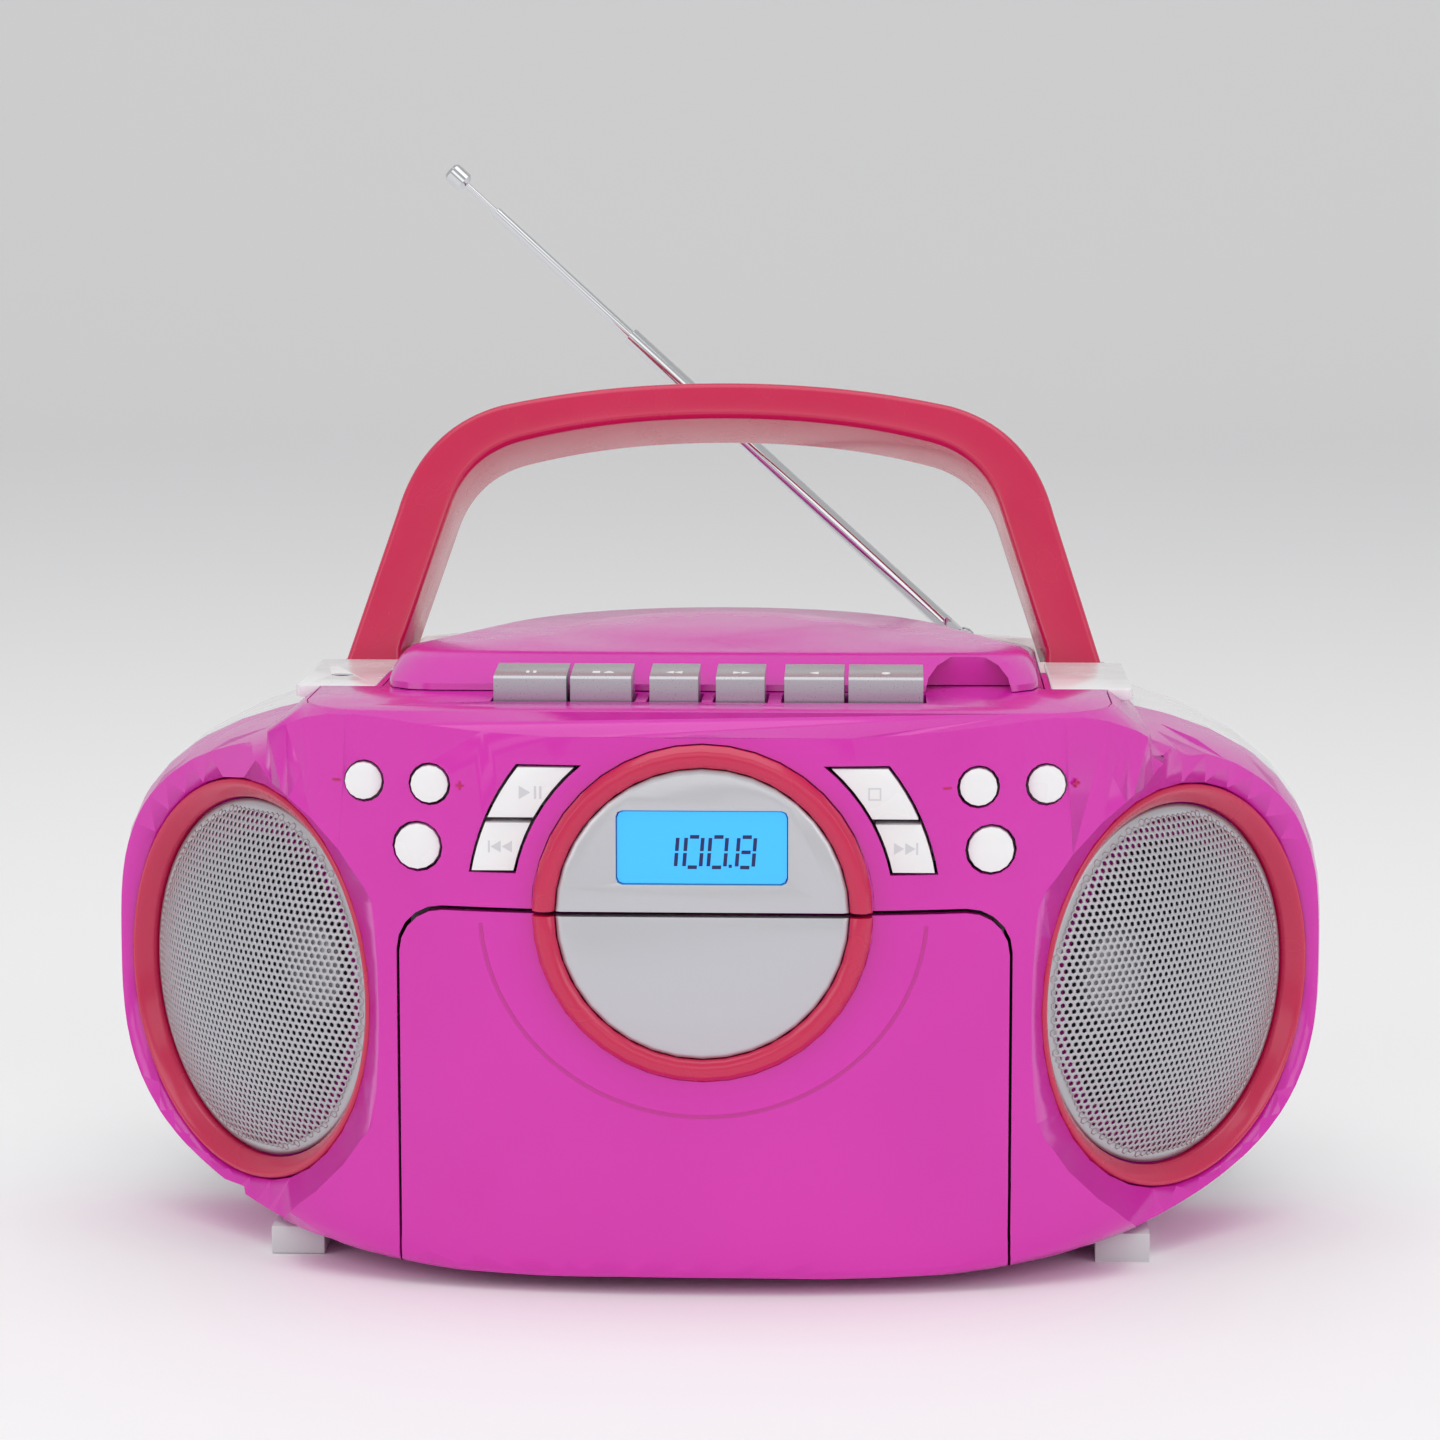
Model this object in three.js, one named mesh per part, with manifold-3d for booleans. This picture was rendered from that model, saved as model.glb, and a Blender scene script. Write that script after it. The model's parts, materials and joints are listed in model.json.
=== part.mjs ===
// Portable radio with a front-loading cassette deck and a top-loading disc player.
// Units are millimetres. +X is the right-hand side, the front faces -Y and +Z is up.
// The origin lies on the floor under the middle of the body.
import * as THREE from 'three';
import { mergeVertices } from 'three/addons/utils/BufferGeometryUtils.js';
import Module from 'manifold-3d';

const wasm = await Module();
wasm.setup();

// ---- body ----
const HALF_WIDTH = 163;
const FRONT_DEPTH = 115;
const REAR_DEPTH = 118;
const MID_Z = 72;
const DROP = 69;
const RISE = 70;
const WALL = 2.6;
const PARTING_Y = -15;
const PARTING_GAP = 0.3;
const PLAN_POWER = 2.3;
const BOTTOM_EDGE_RADIUS = 4;

// ---- top platform and deck plate ----
const DECK_TOP = 146;
const DECK_PLATE = 3;
const PLATFORM_BASE_Z = 139;
const LEDGE_TOP = 142.7;
const LEDGE_UNDER = 140.2;
const DECK_HALF_FRONT = 102.3;
const DECK_HALF_REAR = 86.3;
const DECK_FRONT_Y = -100.7;
const DECK_STEP_Y = -50.5;
const DECK_REAR_Y = 80;

// ---- disc player ----
const DISC_Y = 8;
const WELL_RADIUS = 62;
const WELL_FLOOR = 133;
const LID_FRONT_Y = -60;
const LID_HALF_WIDTH = 84.8;
const LID_REAR_RADIUS = 68;
const LID_UNDER = 146.3;
const LID_TOP = 154.5;
const LID_DOME_TOP = 158;
const LID_DOME_RADIUS = 49;
const LID_HINGE_Y = 75.2;
const LID_HINGE_Z = 149;

// ---- round front badge, display and cassette door ----
const BADGE_Z = 97.5;
const BADGE_RADIUS = 42.3;
const BADGE_PLATE_RADIUS = 36.4;
const BADGE_GAP = 0.6;
const BADGE_FRONT_Y = -118;
const BADGE_SEAT_Y = -111.5;
const DOOR_HALF_WIDTH = 76.4;
const DOOR_BOTTOM = 4.8;
const DOOR_CORNER = 11;
const DOOR_SIDE_GAP = 0.75;
const DOOR_HINGE_Y = -101.6;
const DOOR_HINGE_Z = 8.5;
const WINDOW_WIDTH = 42;
const WINDOW_HEIGHT = 18;
const WINDOW_Z = 114.3;

// ---- speakers ----
const SPEAKER_X = 122;
const SPEAKER_Y = -62;
const SPEAKER_Z = 70;
const SPEAKER_TURN = 46 * Math.PI / 180;
const DISH_RADIUS = 63;
const SPEAKER_HOLE = 53.2;
const TRIM_OUTER = 52.7;
const TRIM_INNER = 47.5;
const GRILLE_RADIUS = 47.1;
const GRILLE_RISE = 11;
const CONE_HOLE = 38.5;
const LIP_DEPTH = 6.5;

// ---- piano keys ----
const KEY_FRONT_Y = -80;
const KEY_REAR_Y = -63.5;
const KEY_FRONT_TOP = 152.4;
const KEY_REAR_TOP = 153.8;
const KEY_PIVOT_Y = -61.5;
const KEY_PIVOT_Z = 139.2;
const KEY_SHAFT_RADIUS = 1.1;
const KEYS = [
  ['key_pause', -45.4, 18.6],
  ['key_stop_eject', -27.3, 15.6],
  ['key_fast_forward', -8.7, 12.4],
  ['key_rewind', 8.2, 12.4],
  ['key_play', 27, 15.2],
  ['key_record', 45.2, 19],
];

// ---- push buttons on the front ----
const BUTTON_FLANGE_Y = -97;
const BUTTON_END_Y = -95.8;
const BUTTON_GAP = 0.75;
const BUTTON_PROUD = 0.6;
const BOARD_FRONT_Y = -94.2;

// ---- tape mechanism ----
const CHASSIS_FRONT_Y = -87;
const CHASSIS_PLATE = 2;
const REEL_X = 21.25;
const REEL_Z = 43;
const CAPSTAN_X = -15;
const CAPSTAN_Z = 73;
const FLYWHEEL_RADIUS = 22;
const BELT_WHEEL_RADIUS = 18;
const MOTOR_X = 38;
const MOTOR_Z = 60;
const MOTOR_PULLEY_RADIUS = 4;
const BELT_Y = -76.4;

// ---- handle ----
const HANDLE_PIVOT_Y = 25;
const HANDLE_PIVOT_Z = 125;
const HANDLE_LEAN = 20 * Math.PI / 180;
const HANDLE_DEPTH = 28;
const CHANNEL_INNER_X = 86.7;
const CHANNEL_INNER_REAR_X = 79.5;
const CHANNEL_OUTER_X = 105.7;
const CHANNEL_FRONT_Y = 9;
const CHANNEL_KINK_Y = 42;
const CHANNEL_REAR_Y = 67;
const CHANNEL_FLOOR = 111;

// ---- antenna ----
const ANTENNA_X = 67.6;
const ANTENNA_Y = 98;
const ANTENNA_Z = 142;
const ANTENNA_LEAN = 48 * Math.PI / 180;
const ANTENNA_TURN = 5.5 * Math.PI / 180;
const ANTENNA_LENGTHS = [132.5, 186.3, 204.5];
const ANTENNA_BOSS_TOP = 134;

// ---- mains inlet ----
const INLET_X = 97;
const INLET_Y = 101.1;
const INLET_Z = 67;
const INLET_TURN = 23.8 * Math.PI / 180;
const INLET_WIDTH = 23;
const INLET_HEIGHT = 17;

// ---- feet ----
const FOOT_X = 107;
const FOOT_WIDTH = 14;
const FOOT_HALF_LENGTH = 76;

// ======== solids ========

/** Turn a closed three.js geometry into a manifold solid with its faces outward. */
function solid(geometry) {
  const bare = new THREE.BufferGeometry();
  bare.setAttribute('position', geometry.getAttribute('position'));
  if (geometry.index) bare.setIndex(geometry.index);
  const merged = mergeVertices(bare, 1e-4);
  const positions = Float32Array.from(merged.getAttribute('position').array);
  const indices = [];
  const all = merged.index.array;
  for (let i = 0; i < all.length; i += 3) {
    const [a, b, c] = [all[i], all[i + 1], all[i + 2]];
    if (a !== b && b !== c && a !== c) indices.push(a, b, c);
  }
  if (signedVolume(positions, indices) < 0) indices.reverse();
  const mesh = new wasm.Mesh({ numProp: 3, vertProperties: positions, triVerts: Uint32Array.from(indices) });
  return new wasm.Manifold(mesh);
}

/** Volume enclosed by an indexed triangle mesh, negative when its faces look inward. */
function signedVolume(positions, indices) {
  let total = 0;
  for (let i = 0; i < indices.length; i += 3) {
    const [a, b, c] = [3 * indices[i], 3 * indices[i + 1], 3 * indices[i + 2]];
    total += positions[a] * (positions[b + 1] * positions[c + 2] - positions[b + 2] * positions[c + 1]);
    total -= positions[a + 1] * (positions[b] * positions[c + 2] - positions[b + 2] * positions[c]);
    total += positions[a + 2] * (positions[b] * positions[c + 1] - positions[b + 1] * positions[c]);
  }
  return total;
}

/** Join several solids. */
function join(...parts) {
  return parts.reduce((whole, part) => whole.add(part));
}

/** Take several solids away from the first. */
function cut(base, ...tools) {
  return tools.reduce((whole, tool) => whole.subtract(tool), base);
}

/** Axis-aligned block between two corners. */
function block(x0, x1, y0, y1, z0, z1) {
  const geometry = new THREE.BoxGeometry(x1 - x0, y1 - y0, z1 - z0);
  geometry.translate((x0 + x1) / 2, (y0 + y1) / 2, (z0 + z1) / 2);
  return solid(geometry);
}

/** Outline given as [x, z] points, extruded along Y. */
function prismY(points, y0, y1) {
  const shape = new THREE.Shape(points.map(([x, z]) => new THREE.Vector2(x, z)));
  const geometry = new THREE.ExtrudeGeometry(shape, { depth: y1 - y0, bevelEnabled: false });
  geometry.rotateX(Math.PI / 2);
  geometry.translate(0, y1, 0);
  return solid(geometry);
}

/** Outline given as [x, y] points, extruded along Z. */
function prismZ(points, z0, z1) {
  const shape = new THREE.Shape(points.map(([x, y]) => new THREE.Vector2(x, y)));
  const geometry = new THREE.ExtrudeGeometry(shape, { depth: z1 - z0, bevelEnabled: false });
  geometry.translate(0, 0, z0);
  return solid(geometry);
}

/** Outline given as [y, z] points, extruded along X. */
function prismX(points, x0, x1) {
  const shape = new THREE.Shape(points.map(([y, z]) => new THREE.Vector2(y, z)));
  const geometry = new THREE.ExtrudeGeometry(shape, { depth: x1 - x0, bevelEnabled: false });
  geometry.applyMatrix4(new THREE.Matrix4().set(0, 0, 1, x0, 1, 0, 0, 0, 0, 1, 0, 0, 0, 0, 0, 1));
  return solid(geometry);
}

/** Profile of [radius, height] points turned about an axis parallel to Z. */
function turnedZ(profile, x, y, segments) {
  const geometry = latheGeometry(profile, segments);
  geometry.rotateX(Math.PI / 2);
  geometry.translate(x, y, 0);
  return solid(geometry);
}

/** Profile of [radius, depth] points turned about an axis parallel to Y. */
function turnedY(profile, x, z, segments) {
  const geometry = latheGeometry(profile, segments);
  geometry.translate(x, 0, z);
  return solid(geometry);
}

function latheGeometry(profile, segments) {
  const points = profile.map(([r, h]) => new THREE.Vector2(r, h));
  return new THREE.LatheGeometry(points, segments);
}

/** Plain cylinder along Y, from y0 to y1. */
function rodY(radius, x, z, y0, y1, segments = 24) {
  return turnedY([[0, y0], [radius, y0], [radius, y1], [0, y1]], x, z, segments);
}

/** Plain cylinder along Z, from z0 to z1. */
function rodZ(radius, x, y, z0, z1, segments = 24) {
  return turnedZ([[0, z0], [radius, z0], [radius, z1], [0, z1]], x, y, segments);
}

/** Plain cylinder along X, from x0 to x1. */
function rodX(radius, y, z, x0, x1, segments = 24) {
  const geometry = new THREE.CylinderGeometry(radius, radius, x1 - x0, segments);
  geometry.rotateZ(Math.PI / 2);
  geometry.translate((x0 + x1) / 2, y, z);
  return solid(geometry);
}

/** Skin over a stack of equally long rings of [x, y, z], closed by a fan at both ends. */
function stack(rings) {
  const count = rings[0].length;
  const positions = rings.flat(2);
  const indices = [];
  for (let row = 0; row + 1 < rings.length; row += 1) {
    for (let i = 0; i < count; i += 1) {
      const next = (i + 1) % count;
      const a = row * count + i;
      const b = row * count + next;
      indices.push(a, b, b + count, a, b + count, a + count);
    }
  }
  for (const [ring, row] of [[rings[0], 0], [rings[rings.length - 1], rings.length - 1]]) {
    const centre = positions.length / 3;
    for (const axis of [0, 1, 2]) {
      positions.push(ring.reduce((sum, point) => sum + point[axis], 0) / count);
    }
    for (let i = 0; i < count; i += 1) {
      const a = row * count + i;
      const b = row * count + (i + 1) % count;
      if (row === 0) indices.push(b, a, centre);
      else indices.push(a, b, centre);
    }
  }
  const geometry = new THREE.BufferGeometry();
  geometry.setAttribute('position', new THREE.Float32BufferAttribute(positions, 3));
  geometry.setIndex(indices);
  return solid(geometry);
}

/** Points of an arc in a plane, in degrees, both ends included. */
function arc(cx, cy, radius, from, to, steps) {
  const points = [];
  for (let i = 0; i <= steps; i += 1) {
    const angle = (from + (to - from) * i / steps) * Math.PI / 180;
    points.push([cx + radius * Math.cos(angle), cy + radius * Math.sin(angle)]);
  }
  return points;
}

/** Rectangle with a radius of its own on each corner, starting lower right and going round. */
function roundedRectangle(x0, x1, y0, y1, radii, steps = 5) {
  const [rLowerRight, rUpperRight, rUpperLeft, rLowerLeft] = radii;
  return [
    ...arc(x1 - rLowerRight, y0 + rLowerRight, rLowerRight, -90, 0, steps),
    ...arc(x1 - rUpperRight, y1 - rUpperRight, rUpperRight, 0, 90, steps),
    ...arc(x0 + rUpperLeft, y1 - rUpperLeft, rUpperLeft, 90, 180, steps),
    ...arc(x0 + rLowerLeft, y0 + rLowerLeft, rLowerLeft, 180, 270, steps),
  ];
}

// ======== the body's form ========

/** Half-width of the body at a height, for a skin set in by inset. */
function halfWidthAt(z, inset) {
  const reach = (z < MID_Z ? DROP : RISE) - inset;
  const share = Math.min(1, Math.abs(z - MID_Z) / reach);
  return (HALF_WIDTH - inset) * (1 - share ** 3) ** (1 / 4.4);
}

/** Depth of the body in front of (or behind) its widest section at a height. */
function depthAt(z, inset, rear) {
  if (rear) {
    const share = Math.min(1, Math.abs(z - MID_Z) / (RISE + 2 - inset));
    return (REAR_DEPTH - inset) * (1 - share ** 3) ** (1 / 3.5);
  }
  const above = Math.max(0, z - (MID_Z - DROP + inset));
  const edge = Math.max(0, BOTTOM_EDGE_RADIUS - above);
  const rounding = BOTTOM_EDGE_RADIUS - Math.sqrt(Math.max(0, BOTTOM_EDGE_RADIUS ** 2 - edge ** 2));
  return FRONT_DEPTH - inset - rounding;
}

/** How far out of the body's section a point lies: 1 on the skin. */
function sectionValue(x, y, width, depth, inset) {
  const outerWidth = HALF_WIDTH - inset;
  const plan = (Math.abs(x) / outerWidth) ** PLAN_POWER + (Math.abs(y) / depth) ** PLAN_POWER;
  const limit = width / Math.max(1e-6, 1 - (width / outerWidth) ** (PLAN_POWER * 2.5)) ** 0.125;
  return plan ** 2.5 + (Math.abs(x) / limit) ** 8;
}

/** One horizontal ring of the body's skin. */
function bodyRing(z, inset, segments) {
  const width = halfWidthAt(z, inset);
  const ring = [];
  for (let i = 0; i < segments; i += 1) {
    const angle = 2 * Math.PI * i / segments;
    const depth = depthAt(z, inset, Math.sin(angle) > 0);
    const dx = width * Math.cos(angle);
    const dy = depth * Math.sin(angle);
    let near = 0;
    let far = 1.6;
    for (let step = 0; step < 40; step += 1) {
      const middle = (near + far) / 2;
      if (sectionValue(dx * middle, dy * middle, width, depth, inset) < 1) near = middle;
      else far = middle;
    }
    ring.push([dx * near, dy * near, z]);
  }
  return ring;
}

/** The body as a closed solid, set in from its skin by inset (negative grows it). */
function bodySolid(inset, segments, levels) {
  const low = MID_Z - DROP + inset;
  const high = MID_Z + RISE - inset;
  return stack(levels.map((share) => bodyRing(low + (high - low) * share, inset, segments)));
}

const SKIN_SEGMENTS = 56;
const SKIN_LEVELS = [0.003, 0.015, 0.045, 0.11, 0.22, 0.36, 0.5, 0.64, 0.78, 0.885, 0.955, 0.995];
const CORE_SEGMENTS = 28;
const CORE_LEVELS = [0.003, 0.04, 0.16, 0.4, 0.64, 0.86, 0.96, 0.995];

/** The body's plan as an upright column. */
function planColumn(z0, z1, inset) {
  const ring = (z) => bodyRing(MID_Z, inset, SKIN_SEGMENTS).map(([x, y]) => [x, y, z]);
  return stack([ring(z0), ring(z1)]);
}

/** Outline of the platform on top of the body. */
function platformOutline(half, front, rear, frontRadius, rearRadius) {
  return roundedRectangle(-half, half, front, rear, [frontRadius, rearRadius, rearRadius, frontRadius], 5);
}

/** The platform that carries the deck plate, keys and lid, with its sloping border. */
function platform(inset, top) {
  const low = platformOutline(112 - inset, -119 + inset, 90 - inset, 34, 60);
  const high = platformOutline(102.7 - inset, -101 + inset, 84 - inset, 22, 54);
  const base = low.map(([x, y]) => [x, y, 104]);
  const rim = low.map(([x, y]) => [x, y, PLATFORM_BASE_Z - inset]);
  const crown = high.map(([x, y]) => [x, y, top]);
  return stack([base, rim, crown]).intersect(planColumn(95, 150, inset));
}

/** Outline of the deck plate, drawn in by inset. */
function deckOutline(inset) {
  const front = DECK_HALF_FRONT - inset;
  const rear = DECK_HALF_REAR - inset;
  const right = [
    ...arc(front - 22, DECK_FRONT_Y + inset + 22, 22, -90, 0, 5),
    [front, DECK_STEP_Y - inset],
    [rear, DECK_STEP_Y - inset],
    ...arc(rear - 45, DECK_REAR_Y - inset - 45, 45, 0, 90, 7),
  ];
  const left = right.map(([x, y]) => [-x, y]).reverse();
  return [...right, ...left];
}

/** Outline of a shoulder panel on the right, drawn in by inset. */
function panelOutline(side, inset) {
  const points = roundedRectangle(88.3 + inset, 109.5 - inset, -50.2 + inset, 8.7 - inset, [3, 1, 1, 1], 2);
  return points.map(([x, y]) => [side * x, y]);
}

const bodyOuter = join(bodySolid(0, SKIN_SEGMENTS, SKIN_LEVELS), platform(0, DECK_TOP));
const bodyInner = join(bodySolid(WALL, CORE_SEGMENTS, CORE_LEVELS), platform(3.2, LEDGE_UNDER));
// Inner walls end halfway through the skin's thickness.
const bodyMiddle = join(bodySolid(WALL / 2, CORE_SEGMENTS, CORE_LEVELS), platform(1.6, DECK_TOP - 1));
const bodyShell = bodyOuter.subtract(bodyInner);
const FRONT_SPACE = block(-200, 200, -140, PARTING_Y, -5, 200);
const REAR_SPACE = block(-200, 200, PARTING_Y + PARTING_GAP, 140, -5, 200);

/** Depth of the front skin under a point of the front face. */
function frontSkinY(x, z) {
  const width = halfWidthAt(z, 0);
  const depth = depthAt(z, 0, false);
  const limit = width / (1 - (width / HALF_WIDTH) ** (PLAN_POWER * 2.5)) ** 0.125;
  const plan = (1 - (Math.abs(x) / limit) ** 8) ** 0.4;
  return -depth * (plan - (Math.abs(x) / HALF_WIDTH) ** PLAN_POWER) ** (1 / PLAN_POWER);
}

// ======== speakers ========

/** Where a speaker stands: its own axis runs along Y, with the rim of its hole at 0. */
function speakerPlace(side) {
  const turn = new THREE.Matrix4().makeRotationZ(side * SPEAKER_TURN);
  return turn.setPosition(side * SPEAKER_X, SPEAKER_Y, SPEAKER_Z);
}

/** Round wall and flat lip inside the cabinet that the speaker's pieces are held in, and the backing of the dish. */
function speakerCollar(side) {
  const profile = [[CONE_HOLE - 1, 8.5], [CONE_HOLE - 1, 5], [52, 5], [52, -24], [DISH_RADIUS + 3, -24],
    [DISH_RADIUS + 3, 3], [55.8, 3], [55.8, 8.5], [CONE_HOLE - 1, 8.5]];
  return solid(latheGeometry(profile, 20).applyMatrix4(speakerPlace(side))).intersect(bodyMiddle);
}

/** Hole for the speaker, with a shallow dish around it where the skin stands higher than the rim. */
function speakerHole(side) {
  const geometry = latheGeometry([[0, -60], [DISH_RADIUS, -60], [DISH_RADIUS, -1], [SPEAKER_HOLE, 0.5], [SPEAKER_HOLE, LIP_DEPTH],
    [CONE_HOLE, LIP_DEPTH], [CONE_HOLE, 30], [0, 30]], 36);
  return solid(geometry.applyMatrix4(speakerPlace(side)));
}

function speakerTrim() {
  const profile = [[TRIM_OUTER, 0.3], [TRIM_OUTER, 6.2], [TRIM_INNER, 6.2], [TRIM_INNER, 3.6], [TRIM_OUTER - 1.2, 0.3],
    [TRIM_OUTER, 0.3]];
  return turnedY(profile, 0, 0, 36);
}

function speakerGrille() {
  const rim = 6.1;
  const sphere = (GRILLE_RADIUS ** 2 + GRILLE_RISE ** 2) / (2 * GRILLE_RISE);
  const top = rim - 1 - GRILLE_RISE;
  const outer = [];
  const inner = [];
  for (let i = 0; i <= 3; i += 1) {
    const r = GRILLE_RADIUS * i / 3;
    const sag = sphere - Math.sqrt(sphere ** 2 - r ** 2);
    outer.push([r, top + sag]);
    inner.push([r, top + sag + 1]);
  }
  return turnedY([...outer, ...inner.reverse()], 0, 0, 28);
}

/** Steel basket with its magnet. */
function speakerDriver() {
  const profile = [[0, 40], [26, 40], [26, 26], [36, 12], [41, 10.4], [41, 8.8], [37.2, 8.8], [24, 24],
    [14, 27.5], [0, 27.5]];
  return turnedY(profile, 0, 0, 18);
}

/** Paper cone with its surround and dust cap. */
function speakerCone() {
  const profile = [[0, 19], [9, 20], [12.5, 23], [32, 10], [35, 7.6], [38, 7.6], [38, 8.5], [35.4, 8.6],
    [13, 24.3], [8.6, 21.2], [0, 20.2]];
  return turnedY(profile, 0, 0, 18);
}

// ======== buttons on the front ========

/** Outline of an elongated button that follows the badge, between two heights. */
function longButtonOutline(side, z0, z1, grow) {
  const points = [];
  const edge = (radius, from, to) => {
    const a0 = Math.asin((from - BADGE_Z) / radius);
    const a1 = Math.asin((to - BADGE_Z) / radius);
    for (let i = 0; i <= 4; i += 1) {
      const angle = a0 + (a1 - a0) * i / 4;
      points.push([side * radius * Math.cos(angle), BADGE_Z + radius * Math.sin(angle)]);
    }
  };
  edge(58.4 + grow, z0, z1);
  edge(48.2 - grow, z1, z0);
  return points;
}

/** Every front button: name, centre, and an outline that grows with its argument. */
function buttonList() {
  const list = [];
  const round = (name, x, z, radius) => {
    list.push({
      name,
      x,
      z,
      outline: (grow) => arc(x, z, radius + grow, 0, 337.5, 15),
      flange: arc(x, z, radius + 1.3, 0, 324, 9),
    });
  };
  round('button_preset_down', -85.4, 128.6, 4.65);
  round('button_preset_up', -68.3, 128.6, 4.65);
  round('button_volume_down', 68.3, 128.6, 4.65);
  round('button_volume_up', 85.4, 128.6, 4.65);
  round('button_program', -71.5, 112.8, 5.7);
  round('button_function', 71.5, 112.8, 5.7);
  const long = (name, side, z0, z1) => {
    const middle = (z0 + z1) / 2;
    const x = side * Math.sqrt(53.3 ** 2 - (middle - BADGE_Z) ** 2);
    list.push({
      name,
      x,
      z: middle,
      outline: (grow) => longButtonOutline(side, z0 - grow, z1 + grow, grow),
      flange: longButtonOutline(side, z0 + 0.6, z1 - 0.6, 1.3),
    });
  };
  long('button_disc_play', -1, 121.1, 133.6);
  long('button_skip_back', -1, 107.6, 119.6);
  long('button_disc_stop', 1, 121.1, 133.6);
  long('button_skip_forward', 1, 107.6, 119.6);
  return list;
}

function buttonSolid(button) {
  const face = frontSkinY(button.x, button.z) - BUTTON_PROUD;
  const cap = prismY(button.outline(0), face, BUTTON_FLANGE_Y + 0.5);
  const flange = prismY(button.flange, BUTTON_FLANGE_Y, BUTTON_END_Y);
  return join(cap, flange);
}

function buttonHole(button) {
  return prismY(button.outline(BUTTON_GAP), -130, -95);
}

// ======== cassette door and badge ========

/** Outline of the cassette door in the front view, grown by grow; straight down past its bottom. */
function doorOutline(grow, top, bottom) {
  const half = DOOR_HALF_WIDTH + grow;
  const radius = DOOR_CORNER + grow;
  return roundedRectangle(-half, half, bottom, top, [0.5, radius, radius, 0.5], 5);
}

const DOOR_TOP = BADGE_Z - BADGE_GAP;
const OPENING_TOP = BADGE_Z + BADGE_GAP;

/** Half of the round badge: everything above (or below) the joint line. */
function badgeHalf(shape, upper) {
  const z0 = upper ? OPENING_TOP : 40;
  const z1 = upper ? 160 : DOOR_TOP;
  return shape.intersect(block(-60, 60, -130, -90, z0, z1));
}

/** Thick pad behind the badge, with the flat seat still to be cut. */
function badgePad() {
  return rodY(44.6, 0, BADGE_Z, -113.4, -108.6, 28);
}

function badgeSeat() {
  return rodY(BADGE_RADIUS + 0.3, 0, BADGE_Z, -125, BADGE_SEAT_Y, 40);
}

function badgeRing() {
  const seat = BADGE_SEAT_Y - 0.3;
  const profile = [[BADGE_PLATE_RADIUS + 0.3, seat], [BADGE_RADIUS, seat], [BADGE_RADIUS, BADGE_FRONT_Y + 2.2],
    [BADGE_RADIUS - 1.4, BADGE_FRONT_Y + 0.4], [BADGE_RADIUS - 3, BADGE_FRONT_Y], [BADGE_RADIUS - 4.6, BADGE_FRONT_Y + 0.5],
    [BADGE_PLATE_RADIUS + 0.3, BADGE_FRONT_Y + 1.6], [BADGE_PLATE_RADIUS + 0.3, seat]];
  return turnedY(profile, 0, BADGE_Z, 40);
}

function badgePlate() {
  const seat = BADGE_SEAT_Y - 0.3;
  const profile = [[0, seat], [BADGE_PLATE_RADIUS, seat], [BADGE_PLATE_RADIUS, BADGE_FRONT_Y + 1.7],
    [BADGE_PLATE_RADIUS - 1.4, BADGE_FRONT_Y + 0.9], [0, BADGE_FRONT_Y + 0.9]];
  return turnedY(profile, 0, BADGE_Z, 36);
}

function displayWindow(grow, y0, y1) {
  const half = WINDOW_WIDTH / 2 + grow;
  const tall = WINDOW_HEIGHT / 2 + grow;
  const outline = roundedRectangle(-half, half, WINDOW_Z - tall, WINDOW_Z + tall, [1.6, 1.6, 1.6, 1.6], 2);
  return prismY(outline, y0, y1);
}

function cassetteDoor() {
  const outline = prismY(doorOutline(0, DOOR_TOP, DOOR_BOTTOM), -130, -103);
  const skin = bodyShell.intersect(outline);
  const pad = badgeHalf(badgePad(), false);
  const lugs = [-1, 1].map((side) => {
    const bracket = block(side > 0 ? 60 : -64, side > 0 ? 64 : -60, -107.6, -99.9, 6.6, 10.6);
    return bracket.subtract(rodX(1.5, DOOR_HINGE_Y, DOOR_HINGE_Z, -70, 70, 12));
  });
  const body = join(skin, pad.intersect(outline), ...lugs);
  return cut(body, badgeHalf(badgeSeat(), false));
}

/** Pocket behind the door that a cassette drops into, open at the top and the back. */
function cassetteHolder() {
  const plate = block(-53.4, 53.4, -107, -105.6, 12.4, 78);
  const sides = [-1, 1].map((side) => join(
    block(side > 0 ? 51.8 : -53.4, side > 0 ? 53.4 : -51.8, -107, -92, 12.4, 78),
    block(side > 0 ? 49 : -53.4, side > 0 ? 53.4 : -49, -93.4, -92, 12.4, 78),
  ));
  const ledge = block(-53.4, 53.4, -107, -92, 12.4, 14.4);
  const foot = block(-20, 20, -108.3, -106, 62, 70);
  const holder = join(plate, ...sides, ledge, foot);
  return cut(holder, block(-40, 40, -107.5, -105, 24, 58), block(-32, 32, -94, -91, 12, 15));
}

/** Walls of the bay behind the cassette door, and the two hinge pegs. */
function cassetteBay() {
  const outer = prismY(doorOutline(2.75, OPENING_TOP + 2, 2), -125, CHASSIS_FRONT_Y - 0.6);
  const post = [[-100.8, 3], [-97, 3], [-97, 10.6], [-102.6, 10.6], [-102.6, 8.5], [-100.8, 7]];
  const pegs = [-1, 1].map((side) => join(
    rodX(1.1, DOOR_HINGE_Y, DOOR_HINGE_Z, side > 0 ? 60.5 : -66, side > 0 ? 66 : -60.5, 12),
    prismX(post, side > 0 ? 65 : -68, side > 0 ? 68 : -65),
  ));
  return { walls: outer.intersect(bodyMiddle), pegs: join(...pegs) };
}

// ======== shells ========

function keySlots() {
  const groups = [[0, 1], [2, 2], [3, 3], [4, 5]];
  return join(...groups.map(([first, last]) => {
    const x0 = KEYS[first][1] - KEYS[first][2] / 2 - 0.8;
    const x1 = KEYS[last][1] + KEYS[last][2] / 2 + 0.8;
    return block(x0, x1, KEY_FRONT_Y - 1.2, KEY_REAR_Y + 1.2, 120, 160);
  }));
}

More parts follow.
